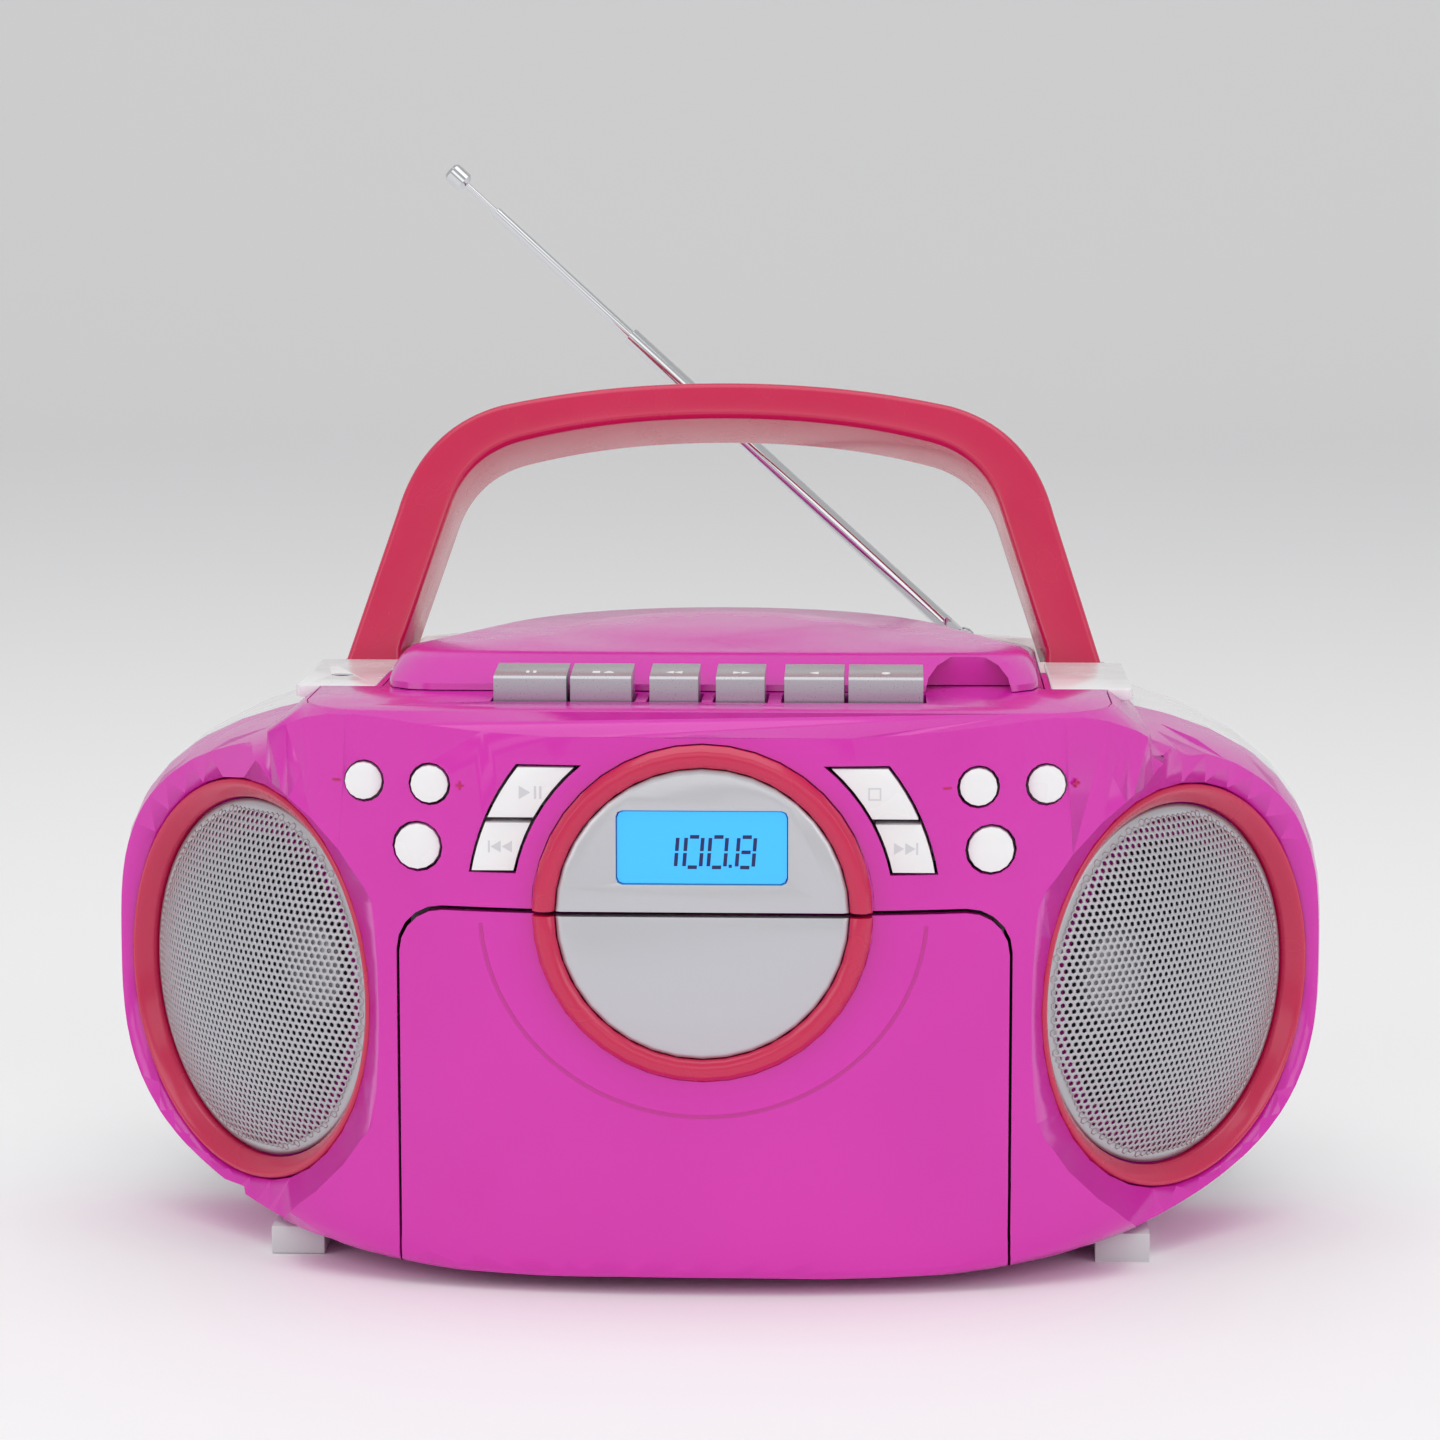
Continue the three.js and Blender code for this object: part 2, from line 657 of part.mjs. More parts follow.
function frontCabinet(buttons) {
  const bay = cassetteBay();
  const collars = join(speakerCollar(-1), speakerCollar(1));
  const pad = badgeHalf(badgePad(), true);
  let shell = join(bodyShell, bay.walls, collars, pad);
  const bayVoid = prismY(doorOutline(DOOR_SIDE_GAP, OPENING_TOP, -2), -130, CHASSIS_FRONT_Y);
  const deckPocket = prismZ(deckOutline(-0.3), LEDGE_TOP, 150);
  const deckOpening = prismZ(deckOutline(5), 120, 150);
  const panelPockets = [-1, 1].map((side) => prismZ(panelOutline(side, -0.3), LEDGE_TOP, 150));
  shell = cut(shell, bayVoid, deckPocket, deckOpening, ...panelPockets);
  shell = cut(shell, speakerHole(-1), speakerHole(1), badgeHalf(badgeSeat(), true));
  shell = cut(shell, ...buttons.map(buttonHole));
  shell = cut(shell, block(-106.6, -93.4, -32.6, -19.4, 120, 143.4));
  const floorLip = block(-79, 79, -100.6, CHASSIS_FRONT_Y - 0.6, 3.4, 5.6).intersect(bodyOuter);
  shell = join(shell, floorLip, bay.pegs.intersect(bodyOuter));
  return shell.intersect(FRONT_SPACE);
}

function batteryOpening(grow, y0, y1) {
  return prismY(roundedRectangle(-70 - grow, 70 + grow, 18 - grow, 60 + grow, [3, 3, 3, 3], 2), y0, y1);
}

/** Where the mains inlet stands: square to the shell, its face at 0 and its depth along -Y. */
function inletPlace() {
  const turn = new THREE.Matrix4().makeRotationZ(-INLET_TURN);
  return turn.setPosition(INLET_X, INLET_Y, INLET_Z);
}

/** Deep slot that one arm of the handle swings in, with the walls around it. */
function handleChannel(side) {
  const wall = 2.4;
  const plan = (grow, up) => [
    [CHANNEL_INNER_X - grow, CHANNEL_FRONT_Y - grow],
    [CHANNEL_OUTER_X + grow, CHANNEL_FRONT_Y - grow],
    [CHANNEL_OUTER_X + grow, CHANNEL_REAR_Y + grow],
    [(up ? CHANNEL_INNER_REAR_X : CHANNEL_INNER_X) - grow, CHANNEL_REAR_Y + grow],
    [CHANNEL_INNER_X - grow, CHANNEL_KINK_Y],
  ].map(([x, y]) => [side * x, y]);
  const walls = prismZ(plan(wall, true), CHANNEL_FLOOR - wall, 170);
  const hollow = prismZ(plan(0, true), CHANNEL_FLOOR, 175);
  const ends = [side * (CHANNEL_INNER_X - wall - 1), side * (CHANNEL_OUTER_X + wall + 1)];
  const bore = rodX(5.3, HANDLE_PIVOT_Y, HANDLE_PIVOT_Z, Math.min(...ends), Math.max(...ends), 20);
  return { walls, hollow: join(hollow, bore) };
}

function rearShell() {
  const channels = [handleChannel(-1), handleChannel(1)];
  const walls = join(...channels.map((channel) => channel.walls)).intersect(bodyMiddle);
  const boss = rodZ(8, ANTENNA_X, ANTENNA_Y, 104, ANTENNA_BOSS_TOP, 24);
  const bay = block(-73, 73, 76, 130, 15, 63).intersect(bodyOuter);
  let shell = join(bodyShell, walls, boss, bay);
  const deckPocket = prismZ(deckOutline(-0.3), LEDGE_TOP, 150);
  const deckOpening = prismZ(deckOutline(5), 120, 150);
  const panelPockets = [-1, 1].map((side) => prismZ(panelOutline(side, -0.3), LEDGE_TOP, 150));
  shell = cut(shell, deckPocket, deckOpening, ...panelPockets, ...channels.map((channel) => channel.hollow));
  shell = cut(shell, batteryOpening(0.4, 100, 130), block(-70, 70, 79, 120, 18, 60));
  const inletHole = new THREE.BoxGeometry(INLET_WIDTH + 0.6, 30, INLET_HEIGHT + 0.6).applyMatrix4(inletPlace());
  shell = cut(shell, solid(inletHole), rodZ(3.4, ANTENNA_X, ANTENNA_Y, 122, 140, 16));
  const posts = [[53, 41], [93, 41]].map(([x, y]) => rodZ(3, x, y, 3.6, 12.1, 12).intersect(bodyOuter));
  shell = join(shell, ...posts);
  return shell.intersect(REAR_SPACE);
}

function batteryCover() {
  const skin = bodyShell.intersect(batteryOpening(0, 100, 130));
  const grip = block(-14, 14, 114.6, 117.2, 53, 55).intersect(bodyOuter);
  return skin.subtract(grip);
}

function topDeck() {
  const plate = prismZ(deckOutline(0), DECK_TOP - DECK_PLATE, DECK_TOP);
  const well = turnedZ([[0, 131], [64.4, 131], [64.4, DECK_TOP - 1], [0, DECK_TOP - 1]], 0, DISC_Y, 32);
  const hollow = turnedZ([[0, WELL_FLOOR], [WELL_RADIUS, WELL_FLOOR], [WELL_RADIUS, 160], [0, 160]], 0, DISC_Y, 32);
  const spindleHole = rodZ(17, 0, DISC_Y, 120, 150, 24);
  const sledSlot = block(15, 59, DISC_Y - 10, DISC_Y + 10, 120, 140);
  const knuckles = [-26, 26].map((x) => join(
    rodX(2.4, LID_HINGE_Y, LID_HINGE_Z, x - 4, x + 4, 14),
    block(x - 4, x + 4, LID_HINGE_Y - 1.6, LID_HINGE_Y + 1.6, DECK_TOP - 1, LID_HINGE_Z),
  ));
  const body = cut(join(plate, well), hollow, spindleHole, sledSlot, keySlots());
  return join(body, ...knuckles, lidPin());
}

/** Steel pin of the lid hinge, held in the deck's knuckles. */
function lidPin() {
  return rodX(1.1, LID_HINGE_Y, LID_HINGE_Z, -34, 34, 12);
}

/** Outline of the disc lid, with separate draw-in at the front and along the rest. */
function lidOutline(frontInset, sideInset) {
  const half = LID_HALF_WIDTH - sideInset;
  const rear = LID_REAR_RADIUS - sideInset;
  const corner = 12;
  const right = [
    ...arc(half - corner, LID_FRONT_Y + frontInset + corner, corner, -90, 0, 3),
    [half, -22],
    ...arc(0, DISC_Y, rear, 23, 90, 8),
  ];
  const left = right.slice(0, -1).map(([x, y]) => [-x, y]).reverse();
  return [...right, ...left];
}

function lidSkin(drop, frontExtra, sideExtra) {
  const levels = [[LID_UNDER, 0, 0], [147.9, 0.3, 0], [150.3, 6.5, 0.5], [152.6, 12, 1.8], [153.9, 15.5, 4],
    [LID_TOP, 19, 7.5]];
  const rings = levels.map(([z, front, side], index) => {
    const height = index === 0 ? z - (drop > 0 ? 1 : 0) : z - drop;
    return lidOutline(front + frontExtra, side + sideExtra).map(([x, y]) => [x, y, height]);
  });
  const dome = [];
  const rise = LID_DOME_TOP - LID_TOP + 0.6;
  for (let i = 0; i <= 4; i += 1) {
    const r = (LID_DOME_RADIUS - drop) * i / 4;
    dome.push([r, LID_DOME_TOP - drop - rise * (i / 4) ** 2.4]);
  }
  dome.push([LID_DOME_RADIUS - drop, 150 - drop], [0, 150 - drop]);
  return join(stack(rings), turnedZ(dome, 0, DISC_Y, 24));
}

function scoopArch(x, halfWidth, height, y0, y1) {
  const points = [[x - halfWidth, 140], [x + halfWidth, 140]];
  for (let i = 0; i <= 8; i += 1) {
    const angle = Math.PI * i / 8;
    points.push([x + halfWidth * Math.cos(angle), LID_UNDER + height * Math.sin(angle)]);
  }
  return prismY(points, y0, y1);
}

function discLid() {
  const outer = lidSkin(0, 0, 0);
  const inner = lidSkin(2.2, 3, 2.2);
  const scoopWall = scoopArch(66.5, 13.2, 9.6, -56, -43).intersect(outer);
  let lid = join(outer.subtract(inner), scoopWall);
  lid = cut(lid, scoopArch(66.5, 11.2, 8, -75, -45));
  const relief = [-26, 26].map((x) => block(x - 4.5, x + 4.5, LID_HINGE_Y - 4.5, 90, 140, 160));
  lid = cut(lid, ...relief);
  const knuckle = join(rodX(2.6, LID_HINGE_Y, LID_HINGE_Z, -18, 18, 14), block(-18, 18, 70, LID_HINGE_Y, 147.5, 151));
  return cut(join(lid, knuckle), rodX(1.5, LID_HINGE_Y, LID_HINGE_Z, -40, 40, 12));
}

function shoulderPanel(side) {
  const plate = prismZ(panelOutline(side, 0), DECK_TOP - DECK_PLATE, DECK_TOP);
  if (side > 0) return plate;
  return plate.subtract(rodZ(2.95, -100, -26, 120, 160, 20));
}

// ======== keys ========

function pianoKey(x, width) {
  const x0 = x - width / 2;
  const outline = [[KEY_FRONT_Y, 141.5], [KEY_REAR_Y, 141.5], [KEY_REAR_Y, KEY_REAR_TOP],
    [KEY_FRONT_Y + 0.7, KEY_FRONT_TOP], [KEY_FRONT_Y, KEY_FRONT_TOP - 0.7]];
  const cap = prismX(outline, x0, x0 + width);
  const arm = prismX([[-70, 142], [-70, 128], [-67, 128], [-67, 137], [KEY_PIVOT_Y, 137], [KEY_PIVOT_Y, 141.4],
    [-64, 142]], x - 3, x + 3);
  const eye = rodX(2.3, KEY_PIVOT_Y, KEY_PIVOT_Z, x - 3, x + 3, 14);
  return cut(join(cap, arm, eye), rodX(KEY_SHAFT_RADIUS + 0.3, KEY_PIVOT_Y, KEY_PIVOT_Z, x - 4, x + 4, 12));
}

// ======== tape mechanism ========

function tapeChassis() {
  const y1 = CHASSIS_FRONT_Y + CHASSIS_PLATE;
  const plate = block(-75.5, 75.5, CHASSIS_FRONT_Y + 0.3, y1 + 0.3, 9, 97);
  const holes = [rodY(5.4, -REEL_X, REEL_Z, -95, -80, 16), rodY(5.4, REEL_X, REEL_Z, -95, -80, 16),
    rodY(2, CAPSTAN_X, CAPSTAN_Z, -95, -80, 10), block(-26, 20, -95, -80, 77.5, 92.5)];
  const cheeks = [-1, 1].map((side) => {
    const cheek = prismX([[-86, 90], [-57.5, 134], [-57.5, 142.2], [-64, 142.2], [-86, 110]],
      side > 0 ? 56.4 : -58, side > 0 ? 58 : -56.4);
    return cheek;
  });
  const shaft = rodX(KEY_SHAFT_RADIUS, KEY_PIVOT_Y, KEY_PIVOT_Z, -57, 57, 12);
  const posts = [[52, 60], [38, 74.5], [24.5, 52]].map(([x, z]) => rodY(2.4, x, z, y1, -70.4, 8));
  return join(cut(plate, ...holes), ...cheeks, shaft, ...posts);
}

function tapeMotor() {
  const can = turnedY([[0, -70], [16, -70], [16, -47], [14, -45.5], [0, -45.5]], MOTOR_X, MOTOR_Z, 16);
  const pulley = turnedY([[0, -78], [MOTOR_PULLEY_RADIUS + 1, -78], [MOTOR_PULLEY_RADIUS + 1, -77],
    [MOTOR_PULLEY_RADIUS, -76.7], [MOTOR_PULLEY_RADIUS, -73.1], [MOTOR_PULLEY_RADIUS + 1, -72.8],
    [MOTOR_PULLEY_RADIUS + 1, -71.8], [1.2, -71.8], [1.2, -69], [0, -69]], MOTOR_X, MOTOR_Z, 12);
  return join(can, pulley);
}

function tapeFlywheel() {
  const profile = [[0, -98], [1.2, -98], [1.2, -84.2], [4, -84.2], [4, -83.4], [FLYWHEEL_RADIUS, -83.4],
    [FLYWHEEL_RADIUS, -78], [BELT_WHEEL_RADIUS, -78], [BELT_WHEEL_RADIUS, -72.6], [4, -72.6], [1.2, -70], [0, -70]];
  return turnedY(profile, CAPSTAN_X, CAPSTAN_Z, 20);
}

/** Outline of the belt around its two wheels, grown outward by grow. */
function beltOutline(grow) {
  const dx = CAPSTAN_X - MOTOR_X;
  const dz = CAPSTAN_Z - MOTOR_Z;
  const reach = Math.hypot(dx, dz);
  const along = Math.atan2(dz, dx) * 180 / Math.PI;
  const splay = Math.asin((BELT_WHEEL_RADIUS - MOTOR_PULLEY_RADIUS) / reach) * 180 / Math.PI;
  return [
    ...arc(CAPSTAN_X, CAPSTAN_Z, BELT_WHEEL_RADIUS + grow, along - 90 - splay, along + 90 + splay, 16),
    ...arc(MOTOR_X, MOTOR_Z, MOTOR_PULLEY_RADIUS + grow, along + 90 + splay, along + 270 - splay, 8),
  ];
}

function tapeBelt() {
  return prismY(beltOutline(1.3), BELT_Y, BELT_Y + 3).subtract(prismY(beltOutline(0.25), BELT_Y - 1, BELT_Y + 4));
}

function reelSpindle(x) {
  const hub = turnedY([[0, -98.5], [1.6, -98.5], [2.9, -96.5], [2.9, -90.5], [9, -90.5], [9, -88.6], [4.9, -88.6],
    [4.9, -82], [0, -82]], x, REEL_Z, 16);
  const fins = [0, 120, 240].map((turn) => {
    const geometry = new THREE.BoxGeometry(1.4, 6, 2.6);
    geometry.translate(0, -93, 3.3);
    geometry.rotateY(turn * Math.PI / 180);
    return solid(geometry.translate(x, 0, REEL_Z));
  });
  return join(hub, ...fins);
}

function headBridge() {
  const plate = block(-40, 40, -90.2, -87.2, 83, 93);
  const head = block(-7.5, 7.5, -99, -89, 81.5, 92);
  const eraseHead = block(22, 30, -98, -89, 82.5, 91);
  const rollerArm = join(block(-22, -10.5, -98.8, -89, 88.6, 91.5), rodY(1, -16.5, 84.4, -98.8, -89, 10),
    block(-17.5, -15.5, -98.8, -97.6, 83.4, 89), block(-17.5, -15.5, -90.5, -89.4, 83.4, 89));
  const guide = block(9, 17, -88, -83, 85.5, 90.5);
  const lever = block(9, 17, -84.4, -83, 85.5, 118);
  return join(plate, head, eraseHead, rollerArm, guide, lever);
}

function pinchRoller() {
  const profile = [[1.3, -97.2], [3.8, -97.2], [4, -97], [4, -90.9], [3.8, -90.7], [1.3, -90.7], [1.3, -97.2]];
  return turnedY(profile, -16.5, 84.4, 12);
}

// ======== disc mechanism ========

function discChassis() {
  const plate = block(-46, 64, DISC_Y - 34, DISC_Y + 34, 119, 121);
  const can = turnedZ([[0, 106], [11, 106], [12, 107], [12, 120], [0, 120]], 0, DISC_Y, 16);
  const rails = [-8, 8].map((offset) => rodX(1, DISC_Y + offset, 125.4, 15, 61, 8));
  const blocks = [[14, 16.5], [60, 62.5]].map(([x0, x1]) => block(x0, x1, DISC_Y - 10, DISC_Y + 10, 120.5, 127));
  const posts = [[-40, -28], [-40, 28], [58, -28], [58, 28]].map(([x, y]) => {
    return rodZ(3.5, x, DISC_Y + y, 120.5, 130.7, 8);
  });
  const body = join(plate, can, ...rails, ...blocks, ...posts);
  return cut(body, rodZ(1.6, 0, DISC_Y, 100, 130, 8));
}

function discTurntable() {
  const profile = [[0, 118], [1.2, 118], [1.2, 132], [4, 132], [4, 134], [15, 134], [15, 136], [7.4, 136],
    [7.4, 139.5], [5.6, 141], [0, 141]];
  return turnedZ(profile, 0, DISC_Y, 20);
}

function laserSled() {
  const base = block(24, 42, DISC_Y - 11, DISC_Y + 11, 123, 128);
  const turret = block(27, 39, DISC_Y - 6, DISC_Y + 6, 127, 131.5);
  const lens = rodZ(3.2, 33, DISC_Y, 131, 133.2, 12);
  const bores = [-8, 8].map((offset) => rodX(1.4, DISC_Y + offset, 125.4, 20, 46, 8));
  return cut(join(base, turret, lens), ...bores);
}

// ======== handle and antenna ========

/** Outline of the handle in its own plane: x across, second value up from the pivots. */
function handleOutline() {
  const half = new THREE.Path();
  half.moveTo(0, 86.3);
  half.quadraticCurveTo(32, 86.3, 57, 79.6);
  half.quadraticCurveTo(72, 75.6, 76.6, 60.4);
  half.lineTo(89.2, 20);
  const inner = half.getPoints(4).map((point) => [point.x, point.y]);
  const outerPath = new THREE.Path();
  outerPath.moveTo(105.1, 14);
  outerPath.lineTo(91.6, 58.6);
  outerPath.quadraticCurveTo(85.4, 83.6, 63, 90);
  outerPath.quadraticCurveTo(34, 96.6, 0, 96.6);
  const outer = outerPath.getPoints(4).map((point) => [point.x, point.y]);
  const foot = arc(97.15, -2, 7.95, 180, 360, 6);
  const right = [...inner, ...foot, ...outer];
  const left = right.slice(1, -1).map(([x, y]) => [-x, y]).reverse();
  return [...right, ...left];
}

/** The handle upright on its pivots: its own origin lies on their axis. */
function handle() {
  const bow = prismY(handleOutline(), -HANDLE_DEPTH / 2, HANDLE_DEPTH / 2);
  const pegs = [-1, 1].map((side) => rodX(5, 0, 0, side > 0 ? 86.2 : -107.8, side > 0 ? 107.8 : -86.2, 20));
  const trim = join(block(-120, 120, -20, -9.5, -20, -1), block(-120, 120, 9.5, 20, -20, 4));
  return join(bow.subtract(trim), ...pegs);
}

/** Foot of the antenna, in its own axes: the hinge pin runs along Y through the origin. */
function antennaSwivel() {
  const base = turnedZ([[0, -15.5], [3.1, -15.5], [3.1, -7.7], [6.6, -7.7], [6.6, -5.4], [0, -5.4]], 0, 0, 16);
  const cheeks = [-1, 1].map((side) => {
    const y0 = side > 0 ? 2.7 : -4.5;
    return join(rodY(3.4, 0, 0, y0, y0 + 1.8, 12), block(-3.4, 3.4, y0, y0 + 1.8, -6, 0));
  });
  const pin = rodY(1, 0, 0, -3, 3, 8);
  return join(base, ...cheeks, pin);
}

/** The three telescopic tubes, upright, with the hinge pin at the origin. */
function antennaTubes() {
  const [end1, end2, end3] = ANTENNA_LENGTHS;
  const knuckle = join(rodY(3.2, 0, 0, -2.4, 2.4, 12), block(-2.2, 2.2, -2.4, 2.4, 0, 8));
  const first = join(knuckle, turnedZ([[0, 6.5], [2.45, 6.5], [2.45, end1], [1.8, end1], [1.8, 12], [0, 12]], 0, 0, 12));
  const tube1 = first.subtract(rodY(1.3, 0, 0, -5, 5, 8));
  const tube2 = turnedZ([[1.1, end1 - 60], [1.5, end1 - 60], [1.5, end2], [1.1, end2], [1.1, end1 - 60]], 0, 0, 12);
  const tube3 = turnedZ([[0, end2 - 62], [0.85, end2 - 62], [0.85, end3 - 6.5], [2, end3 - 6.2], [2.9, end3 - 5.4],
    [2.9, end3 - 0.8], [2.2, end3], [0, end3]], 0, 0, 12);
  return [tube1, tube2, tube3];
}

// ======== electronics and feet ========

function mainBoard() {
  const outline = [[-78, 102.6], [78, 102.6], [78, 121], [92, 121], [92, 136.5], [-92, 136.5], [-92, 121], [-78, 121]];
  const sheet = prismY(outline, BOARD_FRONT_Y, BOARD_FRONT_Y + 1.6);
  const chips = [[-60, 110, 16, 10], [-20, 112, 22, 12], [30, 110, 18, 14], [62, 128, 12, 8]].map(([x, z, w, h]) => {
    return block(x - w / 2, x + w / 2, BOARD_FRONT_Y + 1.4, BOARD_FRONT_Y + 5, z - h / 2, z + h / 2);
  });
  return join(sheet, ...chips);
}

function transformer() {
  const core = block(52, 94, 22, 60, 14, 46);
  const coil = block(58, 88, 17, 65, 17, 43);
  const tabs = block(48, 98, 32, 50, 12.4, 15);
  return join(core, coil, tabs);
}

/** Two-pole mains socket, in its own axes: the face at 0, its depth along -Y. */
function acInlet() {
  const [w, h] = [INLET_WIDTH / 2, INLET_HEIGHT / 2];
  const body = join(block(-w, w, -15, 0, -h, h), block(-w - 2.5, w + 2.5, -9, -6.2, -h - 2.5, h + 2.5));
  const socket = join(rodY(4.4, -4.4, 0, -12, 5, 16), rodY(4.4, 4.4, 0, -12, 5, 16), block(-4.4, 4.4, -12, 5, -4.4, 4.4));
  const pins = join(rodY(1.2, -4.4, 0, -13, -4, 8), rodY(1.2, 4.4, 0, -13, -4, 8));
  return join(body.subtract(socket), pins);
}

function headphoneJack() {
  const body = block(-106, -94, -32, -20, 128, 142.4);
  const collar = rodZ(2.65, -100, -26, 142, 145.6, 18);
  return cut(join(body, collar), rodZ(1.75, -100, -26, 130, 150, 14));
}

function foot(side) {
  const x0 = side * FOOT_X - FOOT_WIDTH / 2;
  const x1 = side * FOOT_X + FOOT_WIDTH / 2;
  const rail = block(x0, x1, -FOOT_HALF_LENGTH, FOOT_HALF_LENGTH, 0, 7.5);
  const arch = block(x0 - 1, x1 + 1, -46, 46, -1, 2);
  return cut(rail, arch, bodySolid(-0.3, SKIN_SEGMENTS, SKIN_LEVELS));
}

// ======== assembly ========

const group = new THREE.Group();
group.name = 'cassette_radio';

const FINISHES = {
  pink: ['#e845c5', 0.25, 0],
  red: ['#de3264', 0.3, 0],
  white: ['#f0f0f0', 0.35, 0],
  silver: ['#c8c8cc', 0.3, 0.6],
  keySilver: ['#a8a8ac', 0.35, 0.5],
  chrome: ['#d8d8dc', 0.12, 1],
  steel: ['#9a9ca0', 0.4, 1],
  black: ['#17171a', 0.5, 0],
  glass: ['#58c4f4', 0.15, 0],
  board: ['#1f6b3a', 0.6, 0],
  copper: ['#a8643a', 0.4, 0.8],
  rubber: ['#242426', 0.8, 0],
  foot: ['#d8d8d8', 0.7, 0],
};

/** Add a solid to a parent group as a named mesh with its own material. */
function addPart(parent, name, shape, finish) {
  const mesh = shape.getMesh();
  const geometry = new THREE.BufferGeometry();
  geometry.setAttribute('position', new THREE.BufferAttribute(Float32Array.from(mesh.vertProperties), 3));
  geometry.setIndex(new THREE.BufferAttribute(Uint32Array.from(mesh.triVerts), 1));
  geometry.computeVertexNormals();
  const [color, roughness, metalness] = FINISHES[finish];
  const part = new THREE.Mesh(geometry, new THREE.MeshStandardMaterial({ color, roughness, metalness }));
  part.name = name;
  parent.add(part);
}

/** Add an unnamed group at a place given as a matrix. */
function addPlace(parent, matrix) {
  const place = new THREE.Group();
  place.applyMatrix4(matrix);
  parent.add(place);
  return place;
}

const buttons = buttonList();
addPart(group, 'front_cabinet', frontCabinet(buttons), 'pink');
addPart(group, 'rear_shell', rearShell(), 'white');
addPart(group, 'top_deck', topDeck(), 'pink');
addPart(group, 'cd_lid', discLid(), 'pink');
addPart(group, 'battery_cover', batteryCover(), 'white');

addPart(group, 'cassette_door', cassetteDoor(), 'pink');
addPart(group, 'cassette_holder', cassetteHolder(), 'black');
addPart(group, 'door_ring_lower', badgeHalf(badgeRing(), false), 'red');
addPart(group, 'door_badge_plate', badgeHalf(badgePlate(), false), 'silver');
addPart(group, 'display_ring_upper', badgeHalf(badgeRing(), true), 'red');
addPart(group, 'display_bezel', badgeHalf(badgePlate(), true).subtract(displayWindow(0.3, -130, -100)), 'silver');
addPart(group, 'lcd_panel', displayWindow(0, -116.4, BADGE_SEAT_Y - 0.3), 'glass');

for (const [label, side] of [['left', -1], ['right', 1]]) {
  addPart(group, `shoulder_panel_${label}`, shoulderPanel(side), 'white');
  addPart(group, `foot_${label}`, foot(side), 'foot');
  const speaker = addPlace(group, speakerPlace(side));
  addPart(speaker, `speaker_trim_${label}`, speakerTrim(), 'red');
  addPart(speaker, `speaker_grille_${label}`, speakerGrille(), 'silver');
  addPart(speaker, `speaker_cone_${label}`, speakerCone(), 'black');
  addPart(speaker, `speaker_driver_${label}`, speakerDriver(), 'steel');
}

for (const [name, x, width] of KEYS) addPart(group, name, pianoKey(x, width), 'keySilver');
for (const button of buttons) addPart(group, button.name, buttonSolid(button), 'white');

const handlePlace = new THREE.Matrix4().makeRotationX(-HANDLE_LEAN).setPosition(0, HANDLE_PIVOT_Y, HANDLE_PIVOT_Z);
addPart(addPlace(group, handlePlace), 'handle', handle(), 'red');

const antennaPlace = new THREE.Matrix4().makeRotationZ(-ANTENNA_TURN).setPosition(ANTENNA_X, ANTENNA_Y, ANTENNA_Z);
const antenna = addPlace(group, antennaPlace);
addPart(antenna, 'antenna_swivel', antennaSwivel(), 'chrome');
const mast = addPlace(antenna, new THREE.Matrix4().makeRotationY(-ANTENNA_LEAN));
antennaTubes().forEach((tube, index) => addPart(mast, `antenna_tube_${index + 1}`, tube, 'chrome'));

addPart(group, 'cd_chassis', discChassis(), 'steel');
addPart(group, 'cd_turntable', discTurntable(), 'black');
addPart(group, 'cd_laser_sled', laserSled(), 'black');

addPart(group, 'tape_chassis', tapeChassis(), 'steel');
addPart(group, 'tape_motor', tapeMotor(), 'steel');
addPart(group, 'tape_flywheel', tapeFlywheel(), 'steel');
addPart(group, 'tape_belt', tapeBelt(), 'rubber');
addPart(group, 'tape_reel_left', reelSpindle(-REEL_X), 'white');
addPart(group, 'tape_reel_right', reelSpindle(REEL_X), 'white');
addPart(group, 'tape_head_bridge', headBridge(), 'steel');
addPart(group, 'tape_pinch_roller', pinchRoller(), 'rubber');

addPart(group, 'main_board', mainBoard(), 'board');
addPart(group, 'transformer', transformer(), 'copper');
addPart(addPlace(group, inletPlace()), 'ac_inlet', acInlet(), 'black');
addPart(group, 'headphone_jack', headphoneJack(), 'black');

export default group;
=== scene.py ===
# %% [markdown]
# # A portable cassette radio with a disc player
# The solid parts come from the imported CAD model: they are the frame that everything here rides on.
# The script is read from the top: each cell explains one piece or finish of the real object, then makes it.

import json
import math

import bmesh
import bpy
import numpy as np
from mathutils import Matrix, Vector


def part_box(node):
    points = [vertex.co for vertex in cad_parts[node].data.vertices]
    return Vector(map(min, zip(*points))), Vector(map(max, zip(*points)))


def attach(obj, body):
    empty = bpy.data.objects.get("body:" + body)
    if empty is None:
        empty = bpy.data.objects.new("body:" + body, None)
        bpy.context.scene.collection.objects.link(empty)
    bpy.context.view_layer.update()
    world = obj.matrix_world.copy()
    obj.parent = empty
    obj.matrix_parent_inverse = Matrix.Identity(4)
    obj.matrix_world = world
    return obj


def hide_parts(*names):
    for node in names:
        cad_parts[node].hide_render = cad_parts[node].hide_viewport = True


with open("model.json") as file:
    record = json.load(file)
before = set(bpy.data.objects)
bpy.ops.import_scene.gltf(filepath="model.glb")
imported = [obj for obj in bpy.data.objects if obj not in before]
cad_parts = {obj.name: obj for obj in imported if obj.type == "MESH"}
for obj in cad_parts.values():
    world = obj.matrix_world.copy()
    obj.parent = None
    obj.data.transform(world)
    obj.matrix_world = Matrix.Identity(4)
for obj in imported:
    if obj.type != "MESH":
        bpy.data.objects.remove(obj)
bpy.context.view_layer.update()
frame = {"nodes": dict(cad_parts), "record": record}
NODES = frame["nodes"]
BODY_OF = {n: body for body, members in frame["record"]["behaviour"]["bodies"].items() for n in members}
SLOT_OF = {row["node"]: row["material_slot"] for row in frame["record"]["subparts"]}
